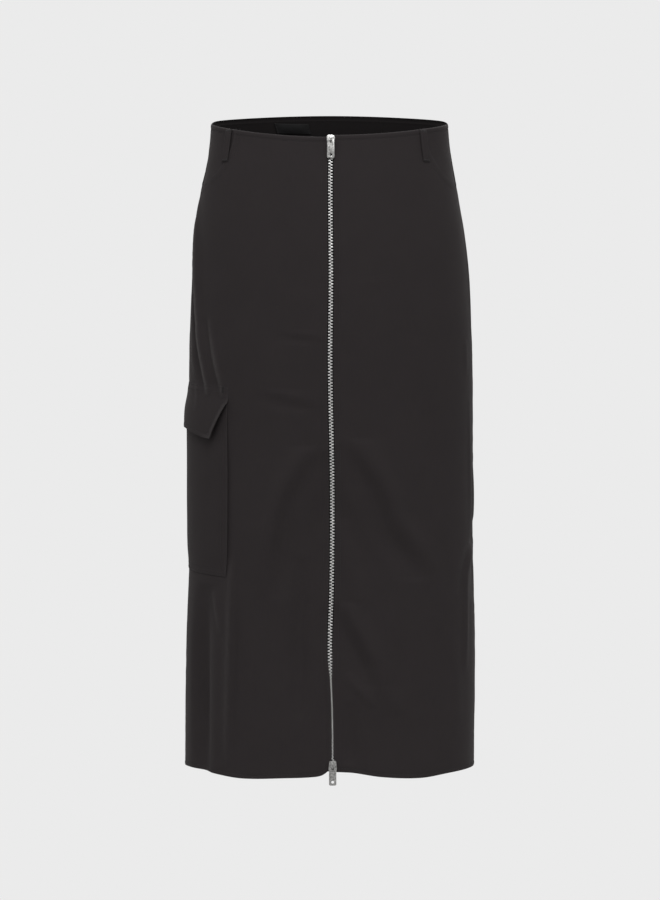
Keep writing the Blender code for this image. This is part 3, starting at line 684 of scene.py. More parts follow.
# The second colour is paler worn cloth, and also the painted highlight along sharp creases and the flap's
# clipped edge.
CLOTH = twill("charcoal_twill", (0.0195, 0.0166, 0.0172), (0.042, 0.039, 0.039))
THREAD = thread_finish()
TAPE = tape_finish()
TEETH_METAL = metal_finish("zip_teeth_metal", (0.34, 0.34, 0.335), (0.64, 0.64, 0.63), (0.44, 0.56))
METAL = metal_finish("zip_slider_metal", (0.13, 0.13, 0.127), (0.44, 0.44, 0.43), (0.34, 0.54))
SATIN = label_finish()

# ---------------------------------------------------------------- cloth walls

EDGE_ROUND = 0.35  # how far the faces stop short of a piece's edge, which is round
TURNED = (0, 0.5, 1.1, 1.8, 2.6, 3.5, 4.4, 5.2, 6.0, 6.8, 7.7, 9.0, 11.0, 13.5)  # grid beside a stitched edge
SEAMED = (0, 0.5, 1.2, 2.1, 3.3, 5.0, 7.2)  # and beside a plain seam


def grid_lines(length, pitch, start=(0,), end=(0,)):
    """Shares of a length: about a pitch apart, and closer together beside its two ends."""
    low, high = start[-1], length - end[-1]
    middle = np.linspace(low, high, max(2, round((high - low) / pitch) + 1))
    return np.unique(np.concatenate([start, middle, length - np.array(end, float)])) / length


def grid(columns, rows):
    return np.meshgrid(columns, rows, indexing="ij")


def keep_apart(values, least):
    """Rising values without those that come too close after another, and always the last one."""
    kept = [values[0]]
    for value in values[1:-1]:
        if value - kept[-1] >= least and values[-1] - value >= least:
            kept.append(value)
    return np.array(kept + [values[-1]])


def boundary(columns, rows):
    """Grid places round the edge: down the first column, along, up the last one and back."""
    down = [(0, row) for row in range(rows - 1)]
    along = [(column, rows - 1) for column in range(columns - 1)]
    up = [(columns - 1, row) for row in range(rows - 1, 0, -1)]
    back = [(column, 0) for column in range(columns - 1, 0, -1)]
    return np.array(down + along + up + back)


def pulled_in(values, distance):
    """A grid of values whose edge places move towards the middle, by shares of their cells."""
    moved = values.copy()
    moved[0] += (values[1] - values[0]) * distance[0]
    moved[-1] += (values[-2] - values[-1]) * distance[1]
    moved[:, 0] += (values[:, 1] - values[:, 0]) * distance[2]
    moved[:, -1] += (values[:, -2] - values[:, -1]) * distance[3]
    return moved


def cloth_wall(name, girth, height, out, wall, worn, finish, cut):
    """A closed wall of cloth. Its arrays have a column for each step to the wearer's left, and a row
    for each step down: out is its outer face, wall its thickness, the third array how worn each place is and
    how much painted highlight it gets, and cut its place on the flat piece."""
    out, wall, worn = (np.broadcast_to(value, girth.shape) for value in (out, wall, worn))

    def cells(a, b):
        size = np.hypot(girth[a] - girth[b], height[a] - height[b])
        return np.minimum(EDGE_ROUND / np.maximum(size, 1e-6), 0.5)

    every = slice(None)
    inset = [cells(0, 1), cells(-1, -2), cells((every, 0), (every, 1)), cells((every, -1), (every, -2))]
    face_girth, face_height = pulled_in(girth, inset), pulled_in(height, inset)
    outer = skin(face_girth, face_height, out)
    inner = skin(face_girth, face_height, out - wall)
    columns, rows = girth.shape
    rim = boundary(columns, rows)
    edge = tuple(rim.T)
    middle = skin(girth[edge], height[edge], (out - wall / 2)[edge])

    index = np.arange(columns * rows).reshape(columns, rows)
    quads = np.stack([index[:-1, :-1], index[:-1, 1:], index[1:, 1:], index[1:, :-1]], -1).reshape(-1, 4)
    ring = index[edge]
    beside = np.roll(ring, -1)
    between = 2 * columns * rows + np.arange(len(rim))
    between_beside = np.roll(between, -1)
    shift = columns * rows
    faces = np.concatenate(
        [
            quads,
            quads[:, ::-1] + shift,
            np.stack([ring, between, between_beside, beside], -1),
            np.stack([between, ring + shift, beside + shift, between_beside], -1),
        ]
    )
    points = np.concatenate([outer.reshape(-1, 3), inner.reshape(-1, 3), middle]) * MM
    mesh = bpy.data.meshes.new(name)
    mesh.from_pydata(points.tolist(), [], faces.tolist())
    flat = [np.concatenate([values.ravel(), values.ravel(), values[edge]]) for values in cut]
    corners = np.empty(len(mesh.loops), int)
    mesh.loops.foreach_get("vertex_index", corners)
    uv = mesh.uv_layers.new(name="cut")
    uv.data.foreach_set("uv", (np.stack(flat, -1)[corners] * MM).ravel())
    # Wear near the edges, with the painted highlight of sharp creases added; the inner face gets half.
    rubbed = mesh.attributes.new("edge", "FLOAT", "POINT")
    worn = worn + relief(girth, height)[1]
    rubbed.data.foreach_set("value", np.concatenate([worn.ravel(), worn.ravel() * 0.5, worn[edge]]))
    # 1 on the inner face and 0.4 on the rim, where the twill darkens its colour as painted shade inside the
    # skirt.
    inside = mesh.attributes.new("inside", "FLOAT", "POINT")
    inside.data.foreach_set("value", np.repeat([0.0, 1.0, 0.4], [outer.size // 3, inner.size // 3, len(rim)]))
    mesh.materials.append(finish)
    mesh.validate()
    mesh.shade_smooth()
    return put_in_scene(name, mesh)


def cut_area(across, down):
    """Flat area of a piece from its grid's places, in square metres."""
    edge = tuple(boundary(*across.shape).T)
    x, y = across[edge] * MM, down[edge] * MM
    return abs(float(np.sum(x * np.roll(y, -1) - y * np.roll(x, -1)))) / 2


def sewn(name, girth, height, out, wall, worn, finish=CLOTH, slot="twill", cut=None, laid=None):
    """A cloth piece: made with its finish, attached to the skirt, and the CAD part it replaces hidden. Its
    size when laid flat is worked out but not used.
    """
    cut = cut or (girth, height)
    across, down = laid or cut
    made = cloth_wall(name, girth, height, out, wall, worn, finish, cut)
    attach(made, "skirt")
    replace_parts(made, made.name.replace("_cloth", ""))
    flat = float(np.ptp(across)) * MM, float(np.ptp(down)) * MM
    min(cut_area(across, down), flat[0] * flat[1])


def stitched(distance, row, dip=0.22, puff=0.2):
    """Rise and fall of cloth beside an edge: puffed up as far as a row of stitches, and drawn in there."""
    swell = puff * bell(distance - 0.5 * row, 0.42 * row)
    return swell - dip * bell(distance - row, 0.85)


def rolled(distance, depth=0.45, reach=2.0):
    """The turn of a folded edge, away from the outside."""
    return -depth * np.clip(1 - distance / reach, 0, 1) ** 2


def puckered(girth, height, distance, reach, depth, seed):
    """Short waves that a seam draws into the cloth beside it."""
    return depth * soft_noise(girth, height, 9, 11, seed) * bell(distance, reach)


def distance_to(girth, height, line):
    """From each place to the nearest point of a line."""
    nearest = np.full(girth.shape, 1e6)
    for along, up in zip(*line):
        nearest = np.minimum(nearest, np.hypot(girth - along, height - up))
    return nearest


# Thickness of one layer, and of an edge turned in
SINGLE, TURNED_IN = 0.75, 1.25
WAIST_STITCH = 6.0  # each row of stitches, from its edge
ZIP_STITCH = 6.5
MOUTH_STITCHES = (2.0, 7.5)
HEM_STITCH = 4.6
HEM_TURNED = 6.5
POCKET_STITCHES = (1.8, 7.2)
FLAP_STITCH = 5.5
FACED = 34.0  # depth of the turned-in cloth inside the waist
MOUTH_AT_STITCH = float(mouth_share(np.array(WAIST_STITCH / FRONT_LENGTH)))


def layered(from_waist, from_hem, from_fold=99.0):
    turned = np.maximum(
        smoothstep(FACED + 1.5, FACED, from_waist), smoothstep(HEM_TURNED + 1, HEM_TURNED, from_hem)
    )
    turned = np.maximum(turned, smoothstep(13, 12, from_fold))
    return SINGLE + (TURNED_IN - SINGLE) * turned


def waist_and_hem(from_waist, from_hem):
    """The turned and stitched ends of a panel."""
    out = rolled(from_waist) + stitched(from_waist, WAIST_STITCH, 0.3, 0.3)
    return out + rolled(from_hem, 0.3) + stitched(from_hem, HEM_STITCH)


def eased(count):
    """Shares from 0 to 1, ever closer together."""
    return np.sin(np.pi / 2 * np.linspace(0, 1, count))


def front_rows():
    pocket = MOUTH_SHARE * eased(34)
    length = -front_hem(LEFT, 0.5)
    top = np.array(TURNED) / length
    body = MOUTH_SHARE + (1 - MOUTH_SHARE) * grid_lines(length * (1 - MOUTH_SHARE), 3.2, (0,), TURNED)
    rows = np.unique(np.concatenate([top, pocket[pocket > top[-1]], body]))
    return keep_apart(rows, 0.15 / length)


def mouth_line(side, steps=90):
    """The curved edge of a hip pocket's mouth."""
    down = MOUTH_SHARE * eased(steps)
    return front_place(side, mouth_share(down), down)


def front(name, side):
    columns = grid_lines(FRONT_WIDTH, 2.5, TURNED, SEAMED)
    if side == RIGHT:
        columns = columns[::-1]
    column, row = grid(columns, front_rows())
    share = column * mouth_share(row)
    girth, height = front_place(side, share, row)
    from_waist = front_top(side, share) - height
    from_hem = height - front_hem(side, share)
    from_zip = (girth - front_girth(side, 0, height)) * side
    from_side = (front_girth(side, 1, height) - girth) * side
    from_mouth = distance_to(girth, height, mouth_line(side))
    out = waist_and_hem(from_waist, from_hem)
    out += rolled(from_zip, 0.3, 1.2) + stitched(from_zip, ZIP_STITCH, 0.15, 0.15)
    out += CLOSING_LIFTS * zip_closing(height) * bell(from_zip, 5)
    near, far = MOUTH_STITCHES
    out += stitched(from_mouth, near, 0.08, 0.0) + stitched(from_mouth, far, 0.1, 0.08)
    out += puckered(girth, height, from_zip, 7, 0.14, 21) + puckered(girth, height, from_hem, 9, 0.22, 22)
    out += puckered(girth, height, from_side, 6, 0.22, 23) + puckered(girth, height, from_mouth, 8, 0.2, 24)
    out += 0.3 * bell(from_side, 4) * smoothstep(70, 80, from_waist)
    if side == RIGHT:
        across = girth - side_girth(RIGHT, height)
        down = POCKET_TOP - height - POCKET_TILT * across
        beside_pocket = smoothstep(40, 90, down) * smoothstep(POCKET_DEPTH + 4, POCKET_DEPTH - 8, down)
        out -= 1.1 * beside_pocket * bell(across - POCKET_FRONT - 1.2, 2.2)
    nearest = np.minimum(np.minimum(from_waist, from_hem), np.minimum(from_zip, from_mouth))
    worn = 0.55 * smoothstep(1.6, 0.2, nearest) + 0.35 * smoothstep(1.0, 0.1, from_side)
    sewn(name, girth, height, out, layered(from_waist, from_hem, from_zip), worn)


DART_SHARES = (0.33, 0.67)
DART_LENGTH = 118.0


def back():
    columns = grid_lines(BACK_WIDTH, 3.4, SEAMED, SEAMED)
    beside_dart = np.array([-3, -1.8, -0.9, 0, 0.9, 1.8, 3]) / BACK_WIDTH
    darts = np.concatenate([share + beside_dart for share in DART_SHARES])
    columns = keep_apart(np.unique(np.concatenate([columns, darts])), 0.8 / BACK_WIDTH)
    column, row = grid(columns, grid_lines(BACK_LENGTH, 3.4, TURNED, TURNED))
    height = back_top(column) * (1 - row) + back_hem(column) * row
    girth = back_girth(column, height)
    from_waist, from_hem = back_top(column) - height, height - back_hem(column)
    from_left, from_right = girth - back_girth(0, height), back_girth(1, height) - girth
    from_side = np.minimum(from_left, from_right)
    out = waist_and_hem(from_waist, from_hem)
    out += puckered(girth, height, from_hem, 9, 0.22, 32) + puckered(girth, height, from_side, 6, 0.22, 33)
    out += 0.3 * bell(from_side, 4)
    for share in DART_SHARES:
        off = np.abs(girth - back_girth(share, height))
        fade = smoothstep(DART_LENGTH, DART_LENGTH - 25, from_waist)
        out += fade * (0.35 * bell(off, 5) - 0.75 * bell(off, 0.9))
    nearest = np.minimum(from_waist, from_hem)
    worn = 0.9 * smoothstep(1.6, 0.2, nearest) + 0.35 * smoothstep(1.0, 0.1, from_side)
    sewn("back_cloth", girth, height, out, layered(from_waist, from_hem), worn)


def hip_facing(name, side):
    """The piece seen above a hip pocket's curved mouth."""
    length = MOUTH_SHARE * FACING_LENGTH
    rows = np.concatenate([np.array(TURNED) / FRONT_LENGTH, length * eased(34)])
    rows = keep_apart(np.unique(rows), 0.4 / FRONT_LENGTH)
    columns = grid_lines(80, 2.6, (0,), SEAMED)
    if side == RIGHT:
        columns = columns[::-1]
    column, row = grid(columns, rows)
    inner = mouth_share(row, MOUTH_WIDTH + FACING_UNDER, length, FACING_UNDER)
    share = inner + (1 - inner) * column
    girth, height = front_place(side, share, row)
    clear = np.where(row < MOUTH_SHARE, (share - mouth_share(row)) * side_girth(LEFT, 0), 0)
    level = smoothstep(*FACING_RISE, clear) * (1 - smoothstep(*FACING_SINK, row / MOUTH_SHARE))
    from_waist = front_top(side, share) - height
    from_side = (front_girth(side, 1, height) - girth) * side
    out = -(SINGLE + FACING_GAP) * (1 - FACING_LEVEL * level) + rolled(from_waist)
    out = out + stitched(from_waist, WAIST_STITCH, 0.3, 0.3) * smoothstep(0, 8, clear)
    out += puckered(girth, height, from_side, 6, 0.15, 23)
    worn = 0.9 * smoothstep(1.6, 0.2, from_waist) + 0.3 * smoothstep(1.0, 0.1, from_side)
    sewn(name, girth, height, out, SINGLE, worn)


# ---------------------------------------------------------------- cargo pocket, flap, loops and label


def from_pocket_edge(across, down):
    return np.minimum(np.minimum(POCKET_FRONT - across, across - POCKET_BACK), POCKET_DEPTH - down)


def pocket_under(across, down):
    """How far the pocket's outer face stands off the cloth below, before it fills out."""
    sewn = smoothstep(26, 3, POCKET_DEPTH - down) + smoothstep(20, 4, across - POCKET_BACK)
    sewn = sewn + smoothstep(30, 2, down)
    return PATCH_GAP + WALL - 1.1 * np.clip(sewn, 0, 1)


def pocket_stand_off(across, down):
    share = np.clip((across - POCKET_BACK) / (POCKET_FRONT - POCKET_BACK), 0.0, 1.0)
    edge = smoothstep(POCKET_EDGE_REACH, 0, POCKET_FRONT - across)
    filled = smoothstep(-4, 26, down) * smoothstep(0, 45, POCKET_DEPTH - down)
    return (POCKET_LIFT * np.sin(np.pi * share) + POCKET_EDGE_LIFT * edge * smoothstep(35, 85, down)) * filled


def pocket_out(across, down):
    from_edge = from_pocket_edge(across, down)
    free = smoothstep(0, POCKET_SEWN_EDGE, from_edge)
    out = pocket_under(across, down) + pocket_stand_off(across, down) * free
    out = out + stitched(from_edge, POCKET_STITCHES[0], 0.08, 0.0)
    out = out + stitched(from_edge, POCKET_STITCHES[1], 0.12, 0.1)
    girth, height = patch_place(across, down, POCKET_TOP)
    out += puckered(girth, height, from_edge, 9, 0.3, 41)
    sag = np.sin(np.pi * down / POCKET_DEPTH) * np.sin(np.pi * (across - POCKET_BACK) / POCKET_WIDTH)
    return out + 0.35 * sag * soft_noise(girth, height, 46, 60, 42)


def cargo_pocket():
    columns = POCKET_BACK + POCKET_WIDTH * grid_lines(POCKET_WIDTH, 2.6, TURNED, TURNED)
    rows = POCKET_DEPTH * grid_lines(POCKET_DEPTH, 2.8, (0,), TURNED)
    across, down = grid(columns, rows)
    from_edge = from_pocket_edge(across, down)
    wall = np.minimum(
        SINGLE + (TURNED_IN - 0.15 - SINGLE) * smoothstep(10, 9, from_edge), pocket_under(across, down) - 0.12
    )
    worn = 0.5 * smoothstep(1.4, 0.2, from_edge)
    girth, height = patch_place(across, down, POCKET_TOP)
    out = pocket_out(across, down)
    sewn("cargo_pocket_cloth", girth, height, out, wall, worn, cut=(across, -down))


def flap_drop(across):
    full = read(FLAP, "across", "drop", across)
    from_end = np.minimum(across - FLAP[0].across, FLAP[-1].across - across)
    return full - FLAP_CLIP_UP * np.maximum(0.0, 1 - from_end / FLAP_CLIP_ACROSS)


def flap_edge_line():
    """The flap's free edge, from its top corner behind, along the bottom and up to its front top corner."""
    first, last = FLAP[0].across, FLAP[-1].across
    across = np.concatenate([[first], np.linspace(first, first + FLAP_CLIP_ACROSS, 14)])
    across = np.concatenate([across, np.linspace(first + FLAP_CLIP_ACROSS, last - FLAP_CLIP_ACROSS, 70)[1:]])
    across = np.concatenate([across, np.linspace(last - FLAP_CLIP_ACROSS, last, 14)[1:]])
    low = flap_drop(across[1:])
    behind = np.linspace(1, low[0], 14)[:-1]
    before = np.linspace(low[-1], 1, 14)[1:]
    line = [np.full(13, first), across[1:], np.full(13, last)]
    return np.concatenate(line), np.concatenate([behind, low, before])


def flap_wall(down):
    return 0.8 + 0.9 * smoothstep(4, 30, down)


def flap_out(across, down):
    on_pocket = down - FLAP_TOP + POCKET_TOP
    over_pocket = pocket_under(across, on_pocket) + pocket_stand_off(across, on_pocket)
    lifted = read(FLAP, "across", "lift", across) * smoothstep(FLAP_HINGE, FLAP[0].drop, down)
    out = FLAP_SUNK + (over_pocket + flap_wall(down) + 0.15 - FLAP_SUNK) * smoothstep(-1, 9, down) + lifted
    from_edge = distance_to(across, down, flap_edge_line())
    clipped = smoothstep(60, 84, across) * smoothstep(12, 26, down)
    out += FLAP_CURL * clipped * np.clip(1 - from_edge / 6.5, 0, 1) ** 1.5
    seamed = smoothstep(24, 8, down) * smoothstep(9, 1, FLAP[-1].across - across)
    out += (FLAP_SUNK - out) * seamed
    girth, height = patch_place(across, down, FLAP_TOP)
    out = out + stitched(from_edge, FLAP_STITCH, 0.3, 0.25) + rolled(from_edge, 0.4, 1.6)
    out += puckered(girth, height, from_edge, 8, 0.2, 51)
    return out - 0.12 * bell(down - 7, 0.9) - 0.12 * bell(down - 2, 0.8)


def cargo_flap():
    ends = FLAP[0].across, FLAP[-1].across
    clip = grid_lines(FLAP_CLIP_ACROSS, 1.7, (0, 0.5, 1.2, 2.1)) * FLAP_CLIP_ACROSS
    middle = np.linspace(ends[0] + FLAP_CLIP_ACROSS, ends[1] - FLAP_CLIP_ACROSS, 78)[1:-1]
    columns = np.concatenate([ends[0] + clip, middle, (ends[1] - clip)[::-1]])
    hinge = np.linspace(0, 1, 9)
    free = 1 + grid_lines(54, 1.7, (0,), (0, 0.5, 1.1, 1.8, 2.6, 3.5, 4.4, 5.2, 6.0, 7.0))
    across, row = grid(columns, np.unique(np.concatenate([hinge, free])))
    down = FLAP_HINGE * np.minimum(row, 1) + (flap_drop(across) - FLAP_HINGE) * np.maximum(row - 1, 0)
    girth, height = patch_place(across, down, FLAP_TOP)
    from_edge = distance_to(across, down, flap_edge_line())
    clipped = smoothstep(60, 84, across) * smoothstep(14, 28, down)
    # Worn edges, and a painted highlight on the band along the clipped front edge.
    worn = 0.6 * smoothstep(1.6, 0.2, from_edge) + 0.6 * clipped * smoothstep(5, 3, from_edge)
    out = flap_out(across, down)
    wall = np.minimum(flap_wall(down), out + 0.7)
    sewn("cargo_flap_cloth", girth, height, out, wall, worn, cut=(across, -down))


def loop_place(loop, across, down):
    """Girth, height and outer face on a belt loop, which is sewn at both ends and arched between."""
    if loop.panel == "back":
        top = back_top(loop.share)
    else:
        top = front_top(LEFT if loop.panel == "left" else RIGHT, loop.share)
    gain, power = LOOP_ARCH
    arch = gain * np.maximum(np.sin(np.pi * down / LOOP_LENGTH), 0) ** power
    out = LOOP_FLAT + LOOP_STANDOFF * np.minimum(1.0, arch)
    height = top - LOOP_BELOW_EDGE - down
    if loop.panel == "back":
        start = seam_girth(90, height)
        girth = start + (seam_girth(270, height) - start) * loop.share
    else:
        girth = side_girth(LEFT if loop.panel == "left" else RIGHT, height) * loop.share
    return girth + across, height, out


def belt_loop(loop):
    columns = LOOP_WIDTH * (grid_lines(LOOP_WIDTH, 1.0, (0, 0.5, 1.1, 1.7), (0, 0.5, 1.1, 1.7)) - 0.5)
    rows = LOOP_LENGTH * grid_lines(LOOP_LENGTH, 1.2, (0, 0.5, 1.1), (0, 0.5, 1.1))
    across, down = grid(columns, rows)
    girth, height, out = loop_place(loop, across, down)
    from_edge = LOOP_WIDTH / 2 - np.abs(across)
    from_end = np.minimum(down, LOOP_LENGTH - down)
    out = out + stitched(from_edge, 1.7, 0.18, 0.05) + 0.12 * np.sin(np.pi * from_edge / LOOP_WIDTH)
    out -= 0.25 * smoothstep(3.4, 1.6, from_end)
    worn = 0.35 * np.maximum(smoothstep(1.2, 0.1, from_edge), smoothstep(1.0, 0.1, from_end))
    sewn(loop.name + "_cloth", girth, height, out, 1.1, worn, cut=(across, -down))


def label_place(across, down):
    start, end = seam_girth(90, 0), seam_girth(270, 0)
    top = back_top((LABEL_MIDDLE - start) / (end - start)) - LABEL_BELOW_EDGE
    return LABEL_MIDDLE + across, top - down


def label():
    """A bare woven label, sewn by its two ends inside the back's waist."""
    columns = LABEL_WIDTH * (grid_lines(LABEL_WIDTH, 1.2, (0, 0.4, 1.0)) - 0.5)
    rows = LABEL_HEIGHT * grid_lines(LABEL_HEIGHT, 1.0, (0, 0.4), (0, 0.4))
    across, down = grid(columns, rows)
    girth, height = label_place(across, down)
    from_end = LABEL_WIDTH / 2 - np.abs(across)
    bow = 0.5 * smoothstep(1.5, 12, from_end) * np.sin(np.pi * down / LABEL_HEIGHT)
    out = -(WALL + PATCH_GAP) - bow + 0.25 * bell(from_end - 1.6, 0.6)
    worn = 0.3 * smoothstep(1, 0, from_end)
    sewn("label_cloth", girth, height, out, 0.5, worn, SATIN, "label", (across, -down))


def zip_tape(name, side):
    """Woven tape with a cord's bead along its inner edge, which the teeth clamp."""
    top = front_top(side, 0.0) - 1
    rows = grid_lines(top - TAPE_END, 3.2, (0, 1, 3, 6, SPREAD_LENGTH), (0, 1, 3, 6, SPREAD_LENGTH))
    columns = grid_lines(14, 1.4, (0, 0.5, 1.0, 1.6, 2.2), (0, 0.5))
    share, row = grid(columns if side == LEFT else columns[::-1], rows)
    height = top - (top - TAPE_END) * row
    parted = smoothstep(SPREAD_LENGTH, 0, np.minimum(top - height, height - TAPE_END))
    inner = TAPE_INNER_EDGE + (TAPE_SPREAD - TAPE_INNER_EDGE) * parted
    off = inner + (TAPE_OUTER_EDGE - inner) * share
    girth = zip_girth(height) + side * off
    bead = bell(off - inner - 0.9, 0.7)
    out = -(WALL + TAPE_GAP) + 0.35 * bead
    wall, cut = 0.55 + 0.6 * bead, (off * side, height)
    sewn(name, girth, height, out, wall, 0.0, TAPE, "zip_tape", cut, (girth, height))


# ---------------------------------------------------------------- what follows a line: stitches and teeth


def join_nodes(tree, rows):
    """Joins nodes: each row is a node and its output, then the next node and its input."""
    for source, gives, target, takes in rows:
        tree.links.new(source.outputs[gives], target.inputs[takes])


def line_tree():
    """Geometry nodes that set a small piece along lines, turned to face out of the cloth."""
    tree = bpy.data.node_groups.new("set_along_a_line", "GeometryNodeTree")
    tree.interface.new_socket("Lines", in_out="OUTPUT", socket_type="NodeSocketGeometry")
    for name, kind in (
        ("Lines", "NodeSocketGeometry"),
        ("Piece", "NodeSocketObject"),
        ("Pitch", "NodeSocketFloat"),
        ("Turn", "NodeSocketVector"),
        ("Seed", "NodeSocketInt"),
        ("Finish", "NodeSocketMaterial"),
    ):
        tree.interface.new_socket(name, in_out="INPUT", socket_type=kind)
    add = tree.nodes.new
    given, result = add("NodeGroupInput"), add("NodeGroupOutput")
    curve, places = add("GeometryNodeMeshToCurve"), add("GeometryNodeCurveToPoints")
    places.mode = "LENGTH"
    facing = add("GeometryNodeInputNamedAttribute")
    facing.data_type = "FLOAT_VECTOR"
    facing.inputs["Name"].default_value = "outward"
    stand = add("FunctionNodeAxesToRotation")
    stand.primary_axis, stand.secondary_axis = "X", "Z"
    piece, spread = add("GeometryNodeObjectInfo"), add("GeometryNodeInstanceOnPoints")
    piece.inputs["As Instance"].default_value = True
    uneven, negative = add("FunctionNodeRandomValue"), add("ShaderNodeVectorMath")
    uneven.data_type = "FLOAT_VECTOR"
    negative.operation = "SCALE"
    negative.inputs["Scale"].default_value = -1
    tilt, turn = add("FunctionNodeEulerToRotation"), add("FunctionNodeRotateRotation")
    turn.rotation_space = "LOCAL"
    real, smooth, finish = (
        add("GeometryNodeRealizeInstances"),
        add("GeometryNodeSetShadeSmooth"),
        add("GeometryNodeSetMaterial"),
    )
    join_nodes(tree, (
        (given, "Lines", curve, "Mesh"),
        (curve, "Curve", places, "Curve"),
        (given, "Pitch", places, "Length"),
        (places, "Tangent", stand, "Primary Axis"),
        (facing, "Attribute", stand, "Secondary Axis"),
        (given, "Turn", negative, 0),
        (negative, 0, uneven, "Min"),
        (given, "Turn", uneven, "Max"),
        (given, "Seed", uneven, "Seed"),
        (uneven, "Value", tilt, "Euler"),
        (stand, "Rotation", turn, "Rotation"),
        (tilt, "Rotation", turn, "Rotate By"),
        (given, "Piece", piece, "Object"),
        (places, "Points", spread, "Points"),
        (piece, "Geometry", spread, "Instance"),
        (turn, "Rotation", spread, "Rotation"),
        (spread, "Instances", real, "Geometry"),
        (real, "Geometry", smooth, "Geometry"),
        (smooth, "Geometry", finish, "Geometry"),
        (given, "Finish", finish, "Material"),
        (finish, "Geometry", result, "Lines"),
    ))
    return tree


LINE_TREE = line_tree()


def set_along(name, lines, piece, **sizes):
    """One mesh of a small piece set along lines of (places, outward), each a list of points."""
    starts = np.cumsum([0] + [len(points) for points, _ in lines])
    edges = [
        (start + step, start + step + 1)
        for start, (points, _) in zip(starts, lines)
        for step in range(len(points) - 1)
    ]
    mesh = bpy.data.meshes.new(name + "_lines")
    mesh.from_pydata(np.concatenate([points for points, _ in lines]).tolist(), edges, [])
    facing = mesh.attributes.new("outward", "FLOAT_VECTOR", "POINT")
    facing.data.foreach_set("vector", np.concatenate([normals for _, normals in lines]).ravel())
    guide = put_in_scene(name + "_lines", mesh)
    modifier = guide.modifiers.new("along", "NODES")
    modifier.node_group = LINE_TREE
    given = {item.name: item.identifier for item in LINE_TREE.interface.items_tree if item.in_out == "INPUT"}
    for socket, value in {"Piece": piece, **sizes}.items():
        modifier[given[socket]] = value
    graph = bpy.context.evaluated_depsgraph_get()
    made = put_in_scene(name, bpy.data.meshes.new_from_object(guide.evaluated_get(graph)))
    bpy.data.objects.remove(guide)
    bpy.data.objects.remove(piece)
    return made


def ringed_piece(name, rings):
    """A small closed piece on rings of points, in millimetres. Seen from the last ring, each turns left,
    so that the faces point outward. A ring at an end may be a single point."""
    bm = bmesh.new()
    rings = [[bm.verts.new(Vector(point) * MM) for point in ring] for ring in rings]
    for low, high in zip(rings, rings[1:]):
        count = max(len(low), len(high))
        for here in range(count):
            ahead = (here + 1) % count
            corners = [low[here % len(low)], low[ahead % len(low)]]
            corners += [high[ahead % len(high)], high[here % len(high)]]
            bm.faces.new(list(dict.fromkeys(corners)))
    for end in (rings[-1], rings[0][::-1]):
        if len(end) > 1:
            bm.faces.new(end)
    mesh = bpy.data.meshes.new(name)
    bm.to_mesh(mesh)
    bm.free()
    return put_in_scene(name, mesh)


def stitch_piece(length, width, height):
    """A stitch as long as a grain of rice, lying along X."""
    around = np.radians(np.arange(90, 450, 60))
    rings = [[(-length / 2, 0, 0)]]
    for turn in np.radians((45, 90, 135)):
        wide, high = width / 2 * np.sin(turn), height / 2 * np.sin(turn)
        rings.append([(-length / 2 * np.cos(turn), wide * np.cos(on), high * np.sin(on)) for on in around])
    return ringed_piece("stitch", [*rings, [(length / 2, 0, 0)]])


def line_on(girth, height, out):
    """Places and outward directions along a line on the cloth, in metres."""
    girth, height = np.asarray(girth, float), np.asarray(height, float)
    return skin(girth, height, out) * MM, outward(girth, height)


def beside(line, distance):
    """A line moved sideways, to its left as it runs."""
    along, up = (np.asarray(values, float) for values in line)
    run_along, run_up = np.gradient(along), np.gradient(up)
    size = np.maximum(np.hypot(run_along, run_up), 1e-9)
    return along - run_up / size * distance, up + run_along / size * distance


STITCH_OUT = 0.12


def panel_lines():
    """Rows of stitches on the fronts and back."""
    for side in (RIGHT, LEFT):
        share = np.linspace(0.012, MOUTH_AT_STITCH - 0.004, 70)
        height = front_top(side, share) - WAIST_STITCH
        yield line_on(front_girth(side, share, height), height, STITCH_OUT - 0.2)
        height = np.linspace(float(front_top(side, 0.03)) - 2, float(front_hem(side, 0.03)) + 1.5, 260)
        yield line_on(front_girth(side, 0, height) + side * ZIP_STITCH, height, STITCH_OUT - 0.15)
        share = np.linspace(0.008, 0.994, 90)
        height = front_hem(side, share) + HEM_STITCH
        yield line_on(front_girth(side, share, height), height, STITCH_OUT - 0.15)
        girth, height = mouth_line(side, 60)
        for distance in MOUTH_STITCHES:
            along, up = beside((girth, height), side * -distance)
            kept = (up < front_top(side, 0.8) - 1) & ((side_girth(side, up) - along) * side > 0.6)
            yield line_on(along[kept], up[kept], STITCH_OUT - 0.15)
    share = np.linspace(0.004, 0.996, 160)
    height = back_top(share) - WAIST_STITCH
    yield line_on(back_girth(share, height), height, STITCH_OUT - 0.2)
    height = back_hem(share) + HEM_STITCH
    yield line_on(back_girth(share, height), height, STITCH_OUT - 0.15)


def facing_lines():
    for side in (RIGHT, LEFT):
        share = np.linspace(MOUTH_AT_STITCH + 0.03, 0.99, 30)
        height = front_top(side, share) - WAIST_STITCH
        clear = (share - MOUTH_AT_STITCH) * side_girth(LEFT, 0)
        level = smoothstep(*FACING_RISE, clear)
        out = -(SINGLE + FACING_GAP) * (1 - FACING_LEVEL * level) - 0.2 + STITCH_OUT
        yield line_on(front_girth(side, share, height), height, out)


